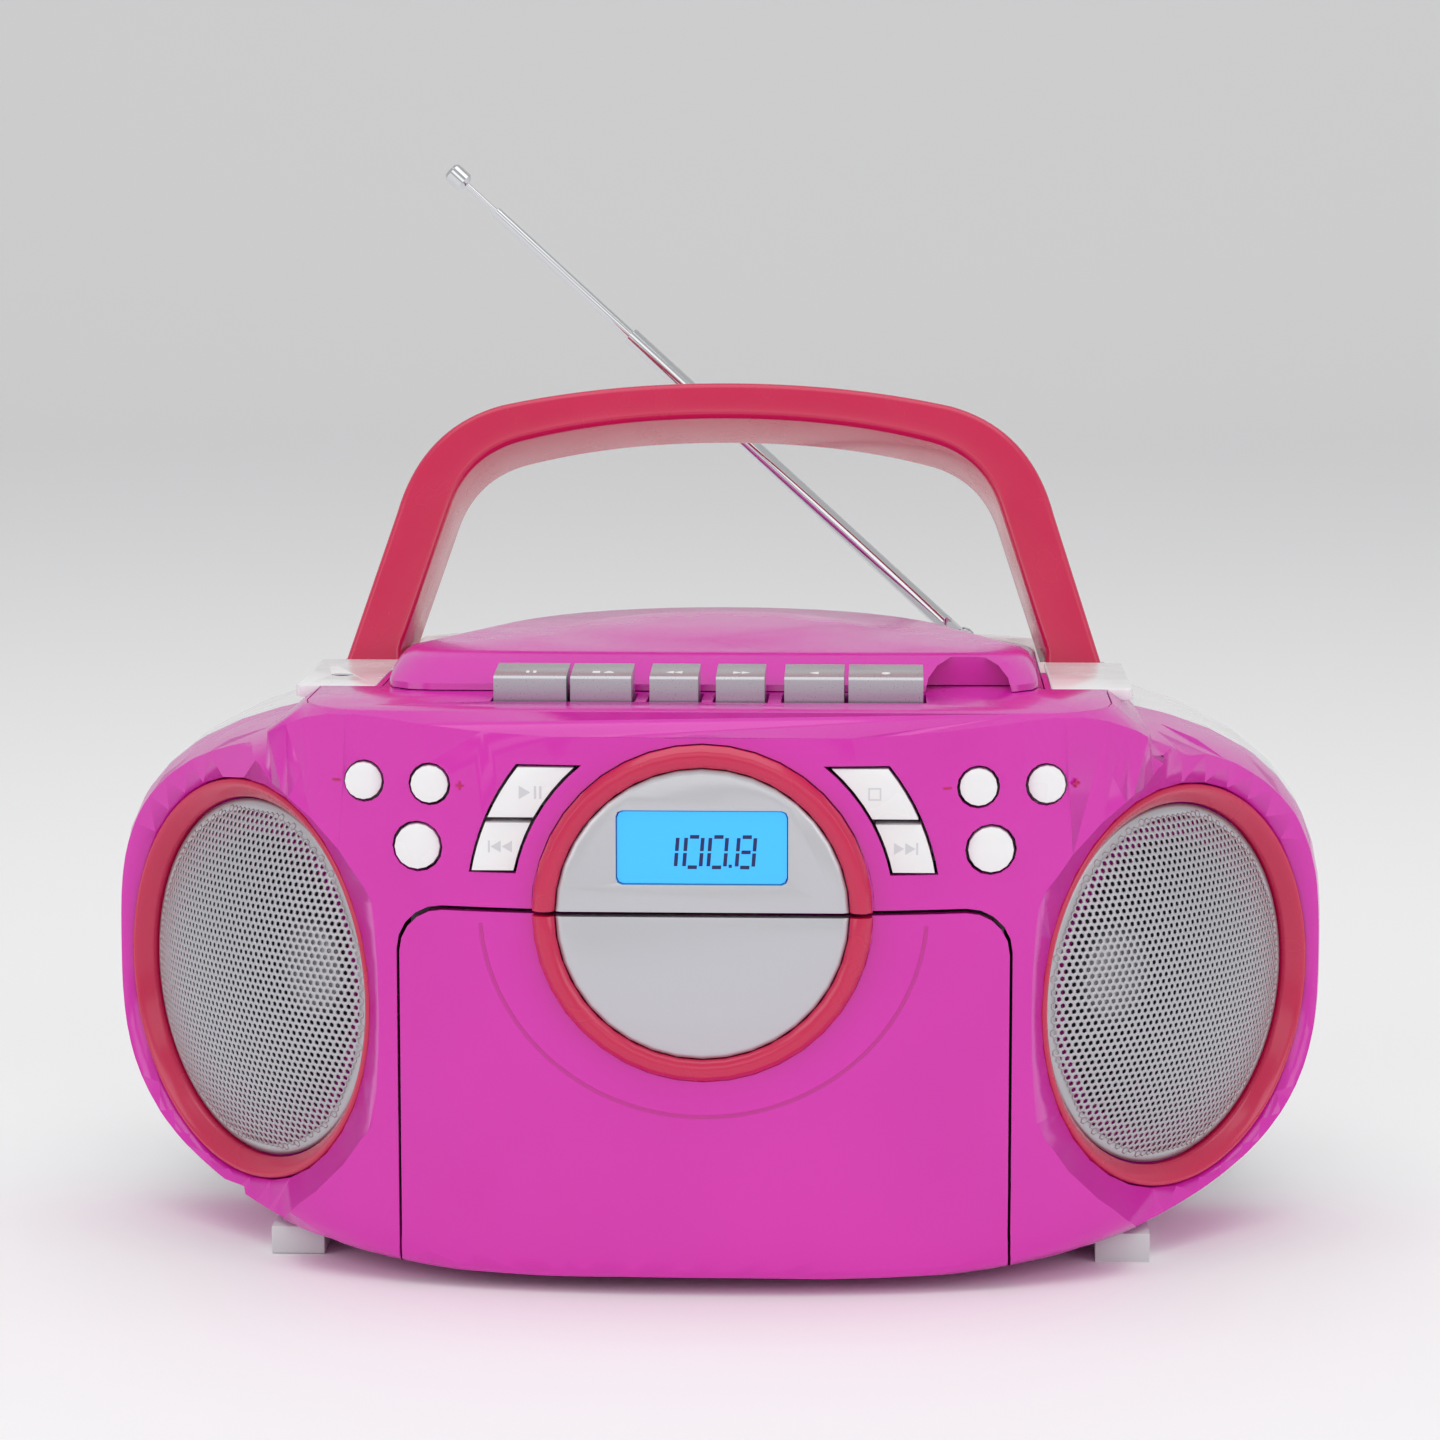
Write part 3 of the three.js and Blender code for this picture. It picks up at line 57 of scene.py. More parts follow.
MM = 0.001

# %% [markdown]
# ## Finishes
# Nearly everything outside is injection-moulded ABS: a clear gloss over a solid colour, with the very
# slight waviness that a polished steel mould leaves. Colours are written as they look on a screen, so one
# function turns them into the linear values that the renderer mixes. Another adds one node with its
# settings and links, which keeps each recipe to a few lines.


# %% Colour and node helpers
def linear(code):
    """An sRGB hex colour as linear red, green, blue and alpha."""
    channels = np.array([int(code[i : i + 2], 16) for i in (1, 3, 5)]) / 255
    low, high = channels / 12.92, ((channels + 0.055) / 1.055) ** 2.4
    return [float(c) for c in np.where(channels <= 0.04045, low, high)] + [1.0]


def add(material, kind, settings=None, **links):
    """Add one node. Settings are socket values or node properties, links are the sockets that feed it."""
    tree = material.node_tree
    node = tree.nodes.new("ShaderNode" + kind)
    for name, value in (settings or {}).items():
        if hasattr(node, name):
            setattr(node, name, value)
        else:
            node.inputs[name].default_value = value
    for name, socket in links.items():
        tree.links.new(socket, node.inputs[name.replace("_", " ")])
    return node


def finish(name, colour, roughness, metallic=0.0, **sockets):
    """A material with its colour and shader values set, ready for more nodes."""
    material = bpy.data.materials.new(name)
    material.use_nodes = True
    shader = material.node_tree.nodes["Principled BSDF"]
    shader.inputs["Base Color"].default_value = linear(colour)
    shader.inputs["Roughness"].default_value = roughness
    shader.inputs["Metallic"].default_value = metallic
    for socket, value in sockets.items():
        shader.inputs[socket.replace("_", " ")].default_value = value
    return material


def shader_of(material):
    return material.node_tree.nodes["Principled BSDF"]


def textured(material, size_mm, height_mm, detail=2.0, rough=None, tint=None):
    """Give a finish its grain: noise of a real size that bumps it and varies its gloss and colour."""
    place = add(material, "TexCoord")
    grain = add(
        material,
        "TexNoise",
        {"Scale": 1 / (size_mm * MM), "Detail": detail, "Roughness": 0.5},
        Vector=place.outputs["Object"],
    )
    bump = add(
        material,
        "Bump",
        {"Strength": 1.0, "Distance": height_mm * MM},
        Height=grain.outputs["Fac"],
    )
    tree, shader = material.node_tree, shader_of(material)
    tree.links.new(bump.outputs["Normal"], shader.inputs["Normal"])
    if rough:
        spread = add(
            material,
            "MapRange",
            {"To Min": rough[0], "To Max": rough[1], "From Min": 0.3, "From Max": 0.7},
            Value=grain.outputs["Fac"],
        )
        tree.links.new(spread.outputs["Result"], shader.inputs["Roughness"])
    if tint:
        wide = add(
            material,
            "TexNoise",
            {"Scale": 1 / (40 * MM), "Detail": 1.0},
            Vector=place.outputs["Object"],
        )
        ramp = add(material, "ValToRGB", {}, Fac=wide.outputs["Fac"])
        ramp.color_ramp.elements[0].position, ramp.color_ramp.elements[1].position = 0.3, 0.7
        ramp.color_ramp.elements[0].color = linear(tint[0])
        ramp.color_ramp.elements[1].color = linear(tint[1])
        tree.links.new(ramp.outputs["Color"], shader.inputs["Base Color"])
    return material


# %% [markdown]
# The bright plastics differ only in colour and gloss. The polished mould gives waves about 12 mm long and a
# few hundredths of a millimetre high, so that reflections wander a little. The black parts are sparked, a
# fine crystalline texture near 0.4 mm.

# %% Make the finishes
FINISH = {
    "pink_shell": textured(
        finish("abs_pink_polished", "#D61FAE", 0.2, IOR=1.53, Coat_Weight=0.25, Coat_Roughness=0.06),
        14, 0.02, rough=(0.17, 0.26), tint=("#D41EAC", "#D821B0")),
    "white_shell": textured(
        finish("abs_white_polished", "#F1F0F1", 0.24, IOR=1.53, Coat_Weight=0.2, Coat_Roughness=0.08),
        14, 0.02, rough=(0.2, 0.3), tint=("#F0EFF0", "#F3F2F3")),
    "red_trim": textured(
        finish("abs_raspberry_polished", "#C9124A", 0.24, IOR=1.53, Coat_Weight=0.25, Coat_Roughness=0.08),
        14, 0.02, rough=(0.2, 0.3), tint=("#C71149", "#CB144D")),
    "silver_paint": textured(
        finish("silver_lacquer_sprayed", "#C9C9CE", 0.34, 0.75, Coat_Weight=0.3, Coat_Roughness=0.1),
        0.5, 0.004, detail=3.0, rough=(0.3, 0.42)),
    "silver_mesh": textured(
        finish("steel_mesh_enamelled", "#BDBDC2", 0.38, 0.6),
        0.6, 0.004, rough=(0.34, 0.46)),
    "key_silver": textured(
        finish("silver_lacquer_satin", "#B9B9BE", 0.3, 0.55, Coat_Weight=0.3, Coat_Roughness=0.12),
        0.5, 0.003, detail=3.0, rough=(0.26, 0.36)),
    "black_plastic": textured(
        finish("abs_black_sparked", "#141416", 0.55, IOR=1.53),
        0.4, 0.02, rough=(0.5, 0.62)),
    "chrome": textured(finish("brass_tube_chromed", "#D6D7DA", 0.09, 1.0), 3, 0.003, rough=(0.06, 0.13)),
    "steel_plate": textured(finish("steel_zinc_plated", "#A9ABAE", 0.38, 1.0), 1.2, 0.01, rough=(0.3, 0.48)),
    "rubber": textured(finish("rubber_moulded", "#0C0C0C", 0.75), 0.5, 0.02, rough=(0.7, 0.85)),
    "foot_plastic": textured(
        finish("abs_grey_sparked", "#D2D2D4", 0.5, IOR=1.53),
        0.5, 0.02, rough=(0.44, 0.56)),
    "paper_cone": textured(finish("paper_pulp_pressed", "#1B1B1E", 0.8), 0.8, 0.05, rough=(0.74, 0.88)),
    "white_acetal": textured(
        finish("acetal_moulded", "#E7E6DF", 0.4, IOR=1.48),
        1.0, 0.01, rough=(0.36, 0.46)),
    "board_laminate": textured(
        finish("laminate_etched", "#1E5A33", 0.4, IOR=1.55),
        2.0, 0.03, rough=(0.35, 0.5)),
    "iron_core": textured(
        finish("iron_laminations_varnished", "#4B423C", 0.45, 0.7),
        0.7, 0.04, rough=(0.4, 0.55)),
    "display_window": finish(
        "display_backlit", "#2FA8EE", 0.18, IOR=1.49, Coat_Weight=0.6, Coat_Roughness=0.03),
}
glow = shader_of(FINISH["display_window"])
glow.inputs["Emission Color"].default_value = linear("#1E9BE8")
glow.inputs["Emission Strength"].default_value = 0.55
print(len(FINISH), "finishes")

# %% [markdown]
# ## Carried-over solids
# The CAD nodes are flat-faced. Real mouldings have small radii on every edge, which catch the light, so each
# node is welded, the nodes listed below get a small bevel on their sharp edges, and all are shaded smooth in
# between.
# The size of the bevel follows the piece: a finger-sized key has a softer edge than a steel plate.


# %% Soften the CAD nodes
def soften(name, radius_mm, segments=2, angle=32):
    """Weld a CAD node, round its sharp edges and shade it smooth, with modifiers only."""
    node = NODES[name]
    node.data.polygons.foreach_set("use_smooth", np.ones(len(node.data.polygons), bool))
    weld = node.modifiers.new("weld", "WELD")
    weld.merge_threshold = 0.00001
    if radius_mm:
        bevel = node.modifiers.new("edges", "BEVEL")
        bevel.width = radius_mm * MM
        bevel.segments = segments
        bevel.limit_method = "ANGLE"
        bevel.angle_limit = math.radians(angle)
        bevel.use_clamp_overlap = True
        bevel.miter_outer = "MITER_ARC"
    split = node.modifiers.new("crease", "EDGE_SPLIT")
    split.split_angle = math.radians(36)
    node.data.materials.clear()
    node.data.materials.append(FINISH[SLOT_OF[name]])


EDGE_MM = {"key": 0.5, "button": 0.45, "handle": 2.2, "shoulder": 0.5, "foot": 0.8,
           "top_deck": 0.3, "cassette_holder": 0.3, "display": 0.15, "door_b": 0.15, "door_r": 0.15}
for node_name in sorted(NODES):
    radius = next((r for start, r in EDGE_MM.items() if node_name.startswith(start)), 0.0)
    soften(node_name, radius)
print("softened", len(NODES), "nodes")

# %% [markdown]
# ## The moulded body
# The body is one soft pebble shape: flat across the middle of the front, round at the sides and full at the
# back. Its skin is where a simple rule gives the value one, so the same rule gives the true direction of the
# surface anywhere. The CAD solid has the holes and edges but only a few dozen flat faces around. A copy of it
# is split finer on the skin, each new corner is moved onto the true surface, and its shading follows the
# rule's slope. That keeps every hole where the CAD put it.

# %% The body's rule
HALF_WIDTH, FRONT_DEPTH, REAR_DEPTH = 163.0, 115.0, 118.0
MID_Z, DROP, RISE, BOTTOM_RADIUS = 72.0, 69.0, 70.0, 4.0


def half_width(z):
    """163 (1 - s^3)^(1/4.4), where s is the share of the height above or below the middle."""
    share = np.clip(np.abs(z - MID_Z) / np.where(z < MID_Z, DROP, RISE), 0, 0.9999)
    return HALF_WIDTH * (1 - share**3) ** (1 / 4.4)


def depth_of(y, z):
    """Depth in front is 115, rounded by 4 at the bottom edge; behind it is 118 (1 - s^3)^(1/3.5)."""
    rear = REAR_DEPTH * (1 - np.clip(np.abs(z - MID_Z) / (RISE + 2), 0, 0.9999) ** 3) ** (1 / 3.5)
    edge = np.clip(BOTTOM_RADIUS - np.maximum(0, z - MID_Z + DROP), 0, BOTTOM_RADIUS)
    front = FRONT_DEPTH - (BOTTOM_RADIUS - np.sqrt(np.maximum(BOTTOM_RADIUS**2 - edge**2, 0)))
    return np.where(y > 0, rear, front)


def body_value(p):
    """((|x|/163)^2.3 + (|y|/depth)^2.3)^2.5 + (|x|/limit)^8: one on the skin, more outside."""
    x, y, z = np.abs(p[..., 0]), np.abs(p[..., 1]), p[..., 2]
    width = half_width(z)
    plan = (x / HALF_WIDTH) ** 2.3 + (y / depth_of(p[..., 1], z)) ** 2.3
    limit = width / np.maximum(1e-6, 1 - (width / HALF_WIDTH) ** 5.75) ** 0.125
    return plan**2.5 + (x / limit) ** 8


def body_slope(p, step=0.05):
    """Gradient of the rule by central differences: it points straight out of the skin."""
    parts = []
    for axis in range(3):
        shift = np.zeros(3)
        shift[axis] = step
        parts.append((body_value(p + shift) - body_value(p - shift)) / (2 * step))
    return np.stack(parts, -1)


def onto_skin(p, rounds=6):
    """Move points along the slope until the rule gives one."""
    p = p.copy()
    for _ in range(rounds):
        slope = body_slope(p)
        p -= slope * ((body_value(p) - 1) / np.maximum((slope**2).sum(-1), 1e-9))[..., None]
    return p


# %% Refine the shells
LONGEST_MOVE = 2.0  # mm; on the flat underside the slope is no guide, and a corner could leave the part


def welded_copy(name):
    """A bmesh of a CAD node with its loose triangles joined, in millimetres."""
    shape = bmesh.new()
    shape.from_mesh(NODES[name].data)
    bmesh.ops.remove_doubles(shape, verts=shape.verts, dist=0.00002)
    bmesh.ops.scale(shape, vec=(1000, 1000, 1000), verts=shape.verts)
    return shape


def corners(shape):
    return np.array([v.co for v in shape.verts], float)


def on_skin(shape, points, limit=0.75):
    """True for each vertex that lies within limit of the true skin, measured along the slope."""
    slope = np.linalg.norm(body_slope(points), axis=-1)
    return np.abs(body_value(points) - 1) / np.maximum(slope, 1e-6) < limit


def add_piece(name, shape, body, slot_name, scale=MM):
    """Turn a bmesh into an object that rides a body and takes the finish of its slot."""
    if scale != 1:
        bmesh.ops.scale(shape, vec=(scale, scale, scale), verts=shape.verts)
    mesh = bpy.data.meshes.new(name)
    shape.to_mesh(mesh)
    shape.free()
    mesh.materials.append(FINISH[slot_name])
    piece = bpy.data.objects.new(name, mesh)
    bpy.context.scene.collection.objects.link(piece)
    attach(piece, body)
    return piece


def refine_shell(node, piece_name, longest=7.0):
    """Copy of a shell whose skin is split to edges no longer than longest, then put on the true surface."""
    shape = welded_copy(node)
    for _ in range(5):
        points = corners(shape)
        skin = on_skin(shape, points)
        shape.verts.ensure_lookup_table()
        shape.verts.index_update()
        shape.edges.ensure_lookup_table()
        pairs = np.array([[v.index for v in e.verts] for e in shape.edges])
        length = np.linalg.norm(points[pairs[:, 0]] - points[pairs[:, 1]], axis=1)
        middle = (points[pairs[:, 0]] + points[pairs[:, 1]]) / 2
        near = on_skin(shape, middle, 1.6)
        todo = skin[pairs[:, 0]] & skin[pairs[:, 1]] & near & (length > longest)
        if not todo.any():
            break
        bmesh.ops.subdivide_edges(shape, edges=[shape.edges[i] for i in np.flatnonzero(todo)], cuts=1)
        bmesh.ops.triangulate(shape, faces=shape.faces)
    points = corners(shape)
    skin = on_skin(shape, points, 1.6)
    moved = onto_skin(points)
    skin &= np.linalg.norm(moved - points, axis=1) < LONGEST_MOVE
    for vertex, target, move in zip(shape.verts, moved, skin):
        if move:
            vertex.co = target
    piece = add_piece(piece_name, shape, BODY_OF[node], SLOT_OF[node])
    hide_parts(node)
    print(piece_name, len(piece.data.polygons), "triangles,", int(skin.sum()), "corners on the skin")
    return piece


def shade_shell(piece):
    """Shade the skin by the rule's slope, and all else by its neighbours up to a crease of 24 degrees."""
    mesh = piece.data
    count = len(mesh.loops)
    corner = np.zeros(count, np.int32)
    mesh.loops.foreach_get("vertex_index", corner)
    points = np.zeros(len(mesh.vertices) * 3)
    mesh.vertices.foreach_get("co", points)
    points = points.reshape(-1, 3) / MM
    faces = len(mesh.polygons)
    flat = np.zeros(faces * 3)
    mesh.polygons.foreach_get("normal", flat)
    flat = flat.reshape(-1, 3)
    sizes = np.zeros(faces, np.int32)
    mesh.polygons.foreach_get("loop_total", sizes)
    owner = np.repeat(np.arange(faces), sizes)
    slope = body_slope(points)
    slope /= np.maximum(np.linalg.norm(slope, axis=1), 1e-9)[:, None]
    skin = on_skin(None, points, 0.05)
    smooth = slope[corner]
    agree = (smooth * flat[owner]).sum(1) > 0.86
    whole = np.bincount(owner, weights=(agree & skin[corner]), minlength=faces) >= sizes
    mesh.polygons.foreach_set("use_smooth", np.ones(faces, bool))
    mesh.set_sharp_from_angle(angle=math.radians(24))
    averaged = np.zeros(count * 3, np.float32)
    mesh.corner_normals.foreach_get("vector", averaged)
    normals = np.where(whole[owner][:, None], smooth, averaged.reshape(-1, 3))
    mesh.normals_split_custom_set(normals.tolist())
    print(piece.name, int(whole.sum()), "of", faces, "faces shaded by the rule")


SHELLS = [
    ("front_cabinet", "cabinet_front_moulding"),
    ("rear_shell", "cabinet_rear_moulding"),
    ("cassette_door", "tape_door_moulding"),
    ("battery_cover", "battery_door_moulding"),
]
for node_name, piece_name in SHELLS:
    shade_shell(refine_shell(node_name, piece_name))

# %% [markdown]
# ## Surfaces from arrays
# The remaining pieces are worked out as grids of points. A turned part is a profile carried round an axis, a
# prism is an outline carried along a line, and both are one grid whose rows are closed into loops. One helper
# turns any grid into a mesh, and another places pieces that belong to a speaker, which stands turned by 46
# degrees.


# %% Grids, turned parts and prisms
def grid_faces(rows, columns, offset=0, around=True):
    """Quads between neighbouring rows and columns; around joins the last column to the first."""
    i, j = np.meshgrid(np.arange(rows - 1), np.arange(columns if around else columns - 1), indexing="ij")
    k = (j + 1) % columns
    quads = np.stack([i * columns + j, i * columns + k, (i + 1) * columns + k, (i + 1) * columns + j], -1)
    return quads.reshape(-1, 4) + offset


def grid_piece(name, points, body, slot_name, around=True, flip=False, material=None):
    """A piece from a rows x columns x 3 grid in millimetres; rows of one repeated point close a pole."""
    rows, columns = points.shape[:2]
    faces = grid_faces(rows, columns, 0, around)
    if flip:
        faces = faces[:, ::-1]
    return mesh_piece(name, points.reshape(-1, 3), faces, body, slot_name, material)


def mesh_piece(name, points, faces, body, slot_name, material=None, crease=35):
    """A piece from corner and face arrays in millimetres, merged, shaded smooth up to the crease angle."""
    mesh = bpy.data.meshes.new(name)
    mesh.from_pydata((np.asarray(points) * MM).tolist(), [], [list(map(int, f)) for f in faces])
    shape = bmesh.new()
    shape.from_mesh(mesh)
    bmesh.ops.remove_doubles(shape, verts=shape.verts, dist=0.000002)
    bmesh.ops.dissolve_degenerate(shape, edges=shape.edges, dist=0.000001)
    shape.to_mesh(mesh)
    shape.free()
    mesh.polygons.foreach_set("use_smooth", np.ones(len(mesh.polygons), bool))
    mesh.set_sharp_from_angle(angle=math.radians(crease))
    mesh.materials.append(material or FINISH[slot_name])
    piece = bpy.data.objects.new(name, mesh)
    bpy.context.scene.collection.objects.link(piece)
    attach(piece, body)
    return piece


def turned(profile, segments, start=0.0, sweep=2 * math.pi):
    """Profile rows (radius, depth) carried round the depth axis: x = r cos a, z = r sin a, y = depth."""
    profile = np.asarray(profile, float)
    closed = sweep > 6.28
    angle = start + sweep * np.arange(segments + (not closed)) / segments
    radius, depth = profile[:, 0][:, None], profile[:, 1][:, None]
    flat = np.broadcast_to(depth, (len(profile), len(angle)))
    return np.stack([radius * np.cos(angle), flat, radius * np.sin(angle)], -1)


SPEAKER_TURN = math.radians(46)


def at_speaker(points, side):
    """Turn points about the vertical by 46 degrees and move them to the middle of a speaker."""
    turn = side * SPEAKER_TURN
    x = points[..., 0] * math.cos(turn) - points[..., 1] * math.sin(turn) + side * 122
    y = points[..., 0] * math.sin(turn) + points[..., 1] * math.cos(turn) - 62
    return np.stack([x, y, points[..., 2] + 70], -1)


# %% [markdown]
# ## Speaker grilles
# Each grille is a sheet of steel punched with round holes in rows set like a honeycomb, then pressed into a
# shallow dome. The holes are real here, because light passes through them to the cone. One hexagon of metal
# with a hole in it is repeated over a grid, and the shared corners are merged. The flat sheet is then lifted
# onto the dome, and gets its thickness last.

# %% Punched domes
PITCH, HOLE, DOME_RADIUS, DOME_RISE, RIM_DEPTH = 2.0, 0.68, 46.9, 10.6, 5.6


def dome_depth(r):
    """Sphere through the rim and the top: depth is least in the middle."""
    sphere = (DOME_RADIUS**2 + DOME_RISE**2) / (2 * DOME_RISE)
    return RIM_DEPTH - DOME_RISE + sphere - np.sqrt(sphere**2 - r**2)


def punched_sheet():
    """Honeycomb cells inside the rim: six quads between each cell's edge and its hole."""
    rows = int(DOME_RADIUS / (PITCH * 0.866)) + 2
    j, i = np.meshgrid(np.arange(-rows, rows + 1), np.arange(-rows, rows + 1), indexing="ij")
    centre = np.stack([(i + 0.5 * (j % 2)) * PITCH, j * PITCH * 0.8660254], -1).reshape(-1, 2)
    centre = centre[np.linalg.norm(centre, axis=1) < DOME_RADIUS - 1.9]
    angle = math.pi / 6 + np.arange(6) * math.pi / 3
    ring = np.stack([np.cos(angle), np.sin(angle)], -1)
    corners_2d = np.concatenate([ring * PITCH / math.sqrt(3), ring * HOLE], 0)
    points = (centre[:, None] + corners_2d[None]).reshape(-1, 2)
    k = np.arange(6)
    quad = np.stack([k, (k + 1) % 6, 6 + (k + 1) % 6, 6 + k], -1)
    faces = (quad[None] + 12 * np.arange(len(centre))[:, None, None]).reshape(-1, 4)
    return points, faces


def speaker_grille(side, label):
    flat, faces = punched_sheet()
    radius = np.linalg.norm(flat, axis=1)
    dome = np.stack([flat[:, 0], dome_depth(radius), flat[:, 1]], -1)
    r = np.array([DOME_RADIUS, DOME_RADIUS - 0.8, DOME_RADIUS - 2.9])
    rim = turned(np.stack([r, dome_depth(r) + 0.02], -1), 120)
    rim_faces = grid_faces(3, 120, len(dome))[:, ::-1]
    points = np.concatenate([dome, rim.reshape(-1, 3)], 0)
    all_faces = np.concatenate([faces[:, ::-1], rim_faces], 0)
    piece = mesh_piece("grille_" + label, at_speaker(points, side), all_faces, "cabinet", "silver_mesh", crease=60)
    sheet = piece.modifiers.new("sheet", "SOLIDIFY")
    sheet.thickness, sheet.offset = 0.5 * MM, 0
    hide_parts("speaker_grille_" + label)
    print(piece.name, len(faces) // 6, "holes")


# %% [markdown]
# ## Trim rings and cones
# The raspberry trim is one turned moulding with a soft outer lip that slopes in to the grille. Behind the
# grille, the paper cone has a rubber surround with a round roll, and a silvery dust cap in the middle that
# shows as a bright spot through the holes.


# %% Trims and cones
def smooth_profile(rows, steps=6):
    """Catmull-Rom curve through profile rows, so that a turned part has no facets along its section."""
    rows = np.asarray(rows, float)
    p = np.concatenate([2 * rows[:1] - rows[1:2], rows, 2 * rows[-1:] - rows[-2:-1]], 0)
    t = (np.arange(steps) / steps)[:, None, None]
    a, b, c, d = p[:-3], p[1:-2], p[2:-1], p[3:]
    curve = 0.5 * (2 * b + (c - a) * t + (2 * a - 5 * b + 4 * c - d) * t**2 + (3 * b - a - 3 * c + d) * t**3)
    return np.concatenate([curve.transpose(1, 0, 2).reshape(-1, rows.shape[1]), rows[-1:]], 0)


def speaker_trim(side, label):
    rows = [[52.6, 6.0], [52.65, 3.0], [52.6, 1.2], [52.1, 0.55], [51.2, 0.5],
            [50.0, 1.4], [48.6, 2.9], [47.6, 4.2], [47.5, 6.0]]
    lip = smooth_profile(rows, 4)
    profile = np.concatenate([lip, [[52.6, 6.0]]], 0)
    piece = grid_piece("trim_" + label, at_speaker(turned(profile, 144), side), "cabinet", "red_trim")
    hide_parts("speaker_trim_" + label)


CAP = textured(finish("paper_cap_silvered", "#C6C6CA", 0.32, 0.7), 1.5, 0.02, rough=(0.28, 0.4))


def speaker_cone(side, label):
    roll = np.linspace(0, math.pi, 9)
    surround = np.stack([35.2 + 2.4 * np.cos(roll[::-1]), 8.4 - 1.6 * np.sin(roll)], -1)
    paper = smooth_profile([[13.0, 23.2], [22.0, 16.2], [30.0, 11.0], [32.8, 8.9]], 5)
    profile = np.concatenate([[[38.0, 8.5]], surround[::-1], paper[::-1]], 0)
    piece = grid_piece("cone_" + label, at_speaker(turned(profile, 72), side), "cabinet", "paper_cone")
    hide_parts("speaker_cone_" + label)
    arc = np.linspace(0, math.pi / 2, 9)
    cap = np.stack([13.4 * np.sin(arc), 23.0 - 5.2 * np.cos(arc)], -1)
    cap_points = at_speaker(turned(cap, 48), side)
    grid_piece("dust_cap_" + label, cap_points, "cabinet", "paper_cone", flip=True, material=CAP)


for speaker_label, speaker_side in (("left", -1), ("right", 1)):
    speaker_grille(speaker_side, speaker_label)
    speaker_trim(speaker_side, speaker_label)
    speaker_cone(speaker_side, speaker_label)

# %% [markdown]
# ## The carrying handle
# The handle is a bow with a flat front, nearly straight legs and a gently arched top. Its inner and outer edges
# are two curves. Carrying a rounded rectangle along them, always reaching from one curve to the other, gives
# its full shape with the 2 mm edge radius of the real moulding. It leans back by 20 degrees about its pegs.

# %% Handle
LEAN = math.radians(20)
PIVOT_Y, PIVOT_Z = 25.0, 125.0


def quadratic(a, b, c, t):
    """Quadratic Bezier curve: (1-t)^2 a + 2t(1-t) b + t^2 c."""
    a, b, c, t = np.array(a, float), np.array(b, float), np.array(c, float), t[:, None]
    return (1 - t) ** 2 * a + 2 * t * (1 - t) * b + t**2 * c


def straight(a, b, t):
    return np.array(a, float) + (np.array(b, float) - np.array(a, float)) * t[:, None]


def handle_edges():
    """Inner and outer edge of the right half, from the middle of the top down to the rounded foot."""
    t, u = np.linspace(0, 1, 19)[:-1], np.linspace(0, 1, 7)[:-1]
    bend = np.linspace(0, math.pi / 2, 9)
    inner = [quadratic((0, 86.3), (32, 86.3), (57, 79.6), t),
             quadratic((57, 79.6), (72, 75.6), (76.6, 60.4), t),
             straight((76.6, 60.4), (89.2, 20), t), straight((89.2, 20), (89.2, -2), u),
             np.stack([97.15 - 7.95 * np.cos(bend), -2 - 7.95 * np.sin(bend)], -1)]
    outer = [quadratic((0, 96.6), (34, 96.6), (63, 90), t),
             quadratic((63, 90), (85.4, 83.6), (91.6, 58.6), t),
             straight((91.6, 58.6), (105.1, 14), t), straight((105.1, 14), (105.1, -2), u),
             np.stack([97.15 + 7.95 * np.cos(bend), -2 - 7.95 * np.sin(bend)], -1)]
    return np.concatenate(inner, 0), np.concatenate(outer, 0)


def lean_back(points):
    """From the handle's own axes, with the pegs at the origin, to its place in the object."""
    x, y, z = points[..., 0], points[..., 1], points[..., 2]
    return np.stack([x, y * math.cos(LEAN) + z * math.sin(LEAN) + PIVOT_Y,
                     z * math.cos(LEAN) - y * math.sin(LEAN) + PIVOT_Z], -1)


def handle():
    inner, outer = handle_edges()
    inner = np.concatenate([(inner * [-1, 1])[:0:-1], inner], 0)
    outer = np.concatenate([(outer * [-1, 1])[:0:-1], outer], 0)
    middle, half = (inner + outer) / 2, np.linalg.norm(outer - inner, axis=1) / 2
    across = (outer - inner) / np.maximum(2 * half, 1e-6)[:, None]
    depth = np.where(middle[:, 1] < 1, 9.4, 14.0)
    radius = np.minimum(2.0, half * 0.95)
    quarter = np.linspace(0, math.pi / 2, 6)
    corner = np.concatenate([quarter + k * math.pi / 2 for k in range(4)])
    sign_u = np.repeat([1, -1, -1, 1], 6)
    sign_v = np.repeat([1, 1, -1, -1], 6)
    u = sign_u * (half - radius)[:, None] + radius[:, None] * np.cos(corner)
    v = sign_v * (depth - radius)[:, None] + radius[:, None] * np.sin(corner)
    points = np.stack([middle[:, :1] + across[:, :1] * u, v, middle[:, 1:] + across[:, 1:] * u], -1)
    piece = grid_piece("handle_bow", lean_back(points), "carry_handle", "red_trim")
    peg = turned([[0, -107.7], [4.2, -107.7], [4.9, -107], [4.9, -86.4], [0, -86.4]], 32)
    for side in (-1, 1):
        place = np.stack([peg[..., 1] * side, peg[..., 0], peg[..., 2]], -1)
        label = "left" if side < 0 else "right"
        grid_piece("handle_peg_" + label, lean_back(place), "carry_handle", "red_trim", flip=side > 0)
    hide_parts("handle")
    print("handle", len(points), "sections")


handle()
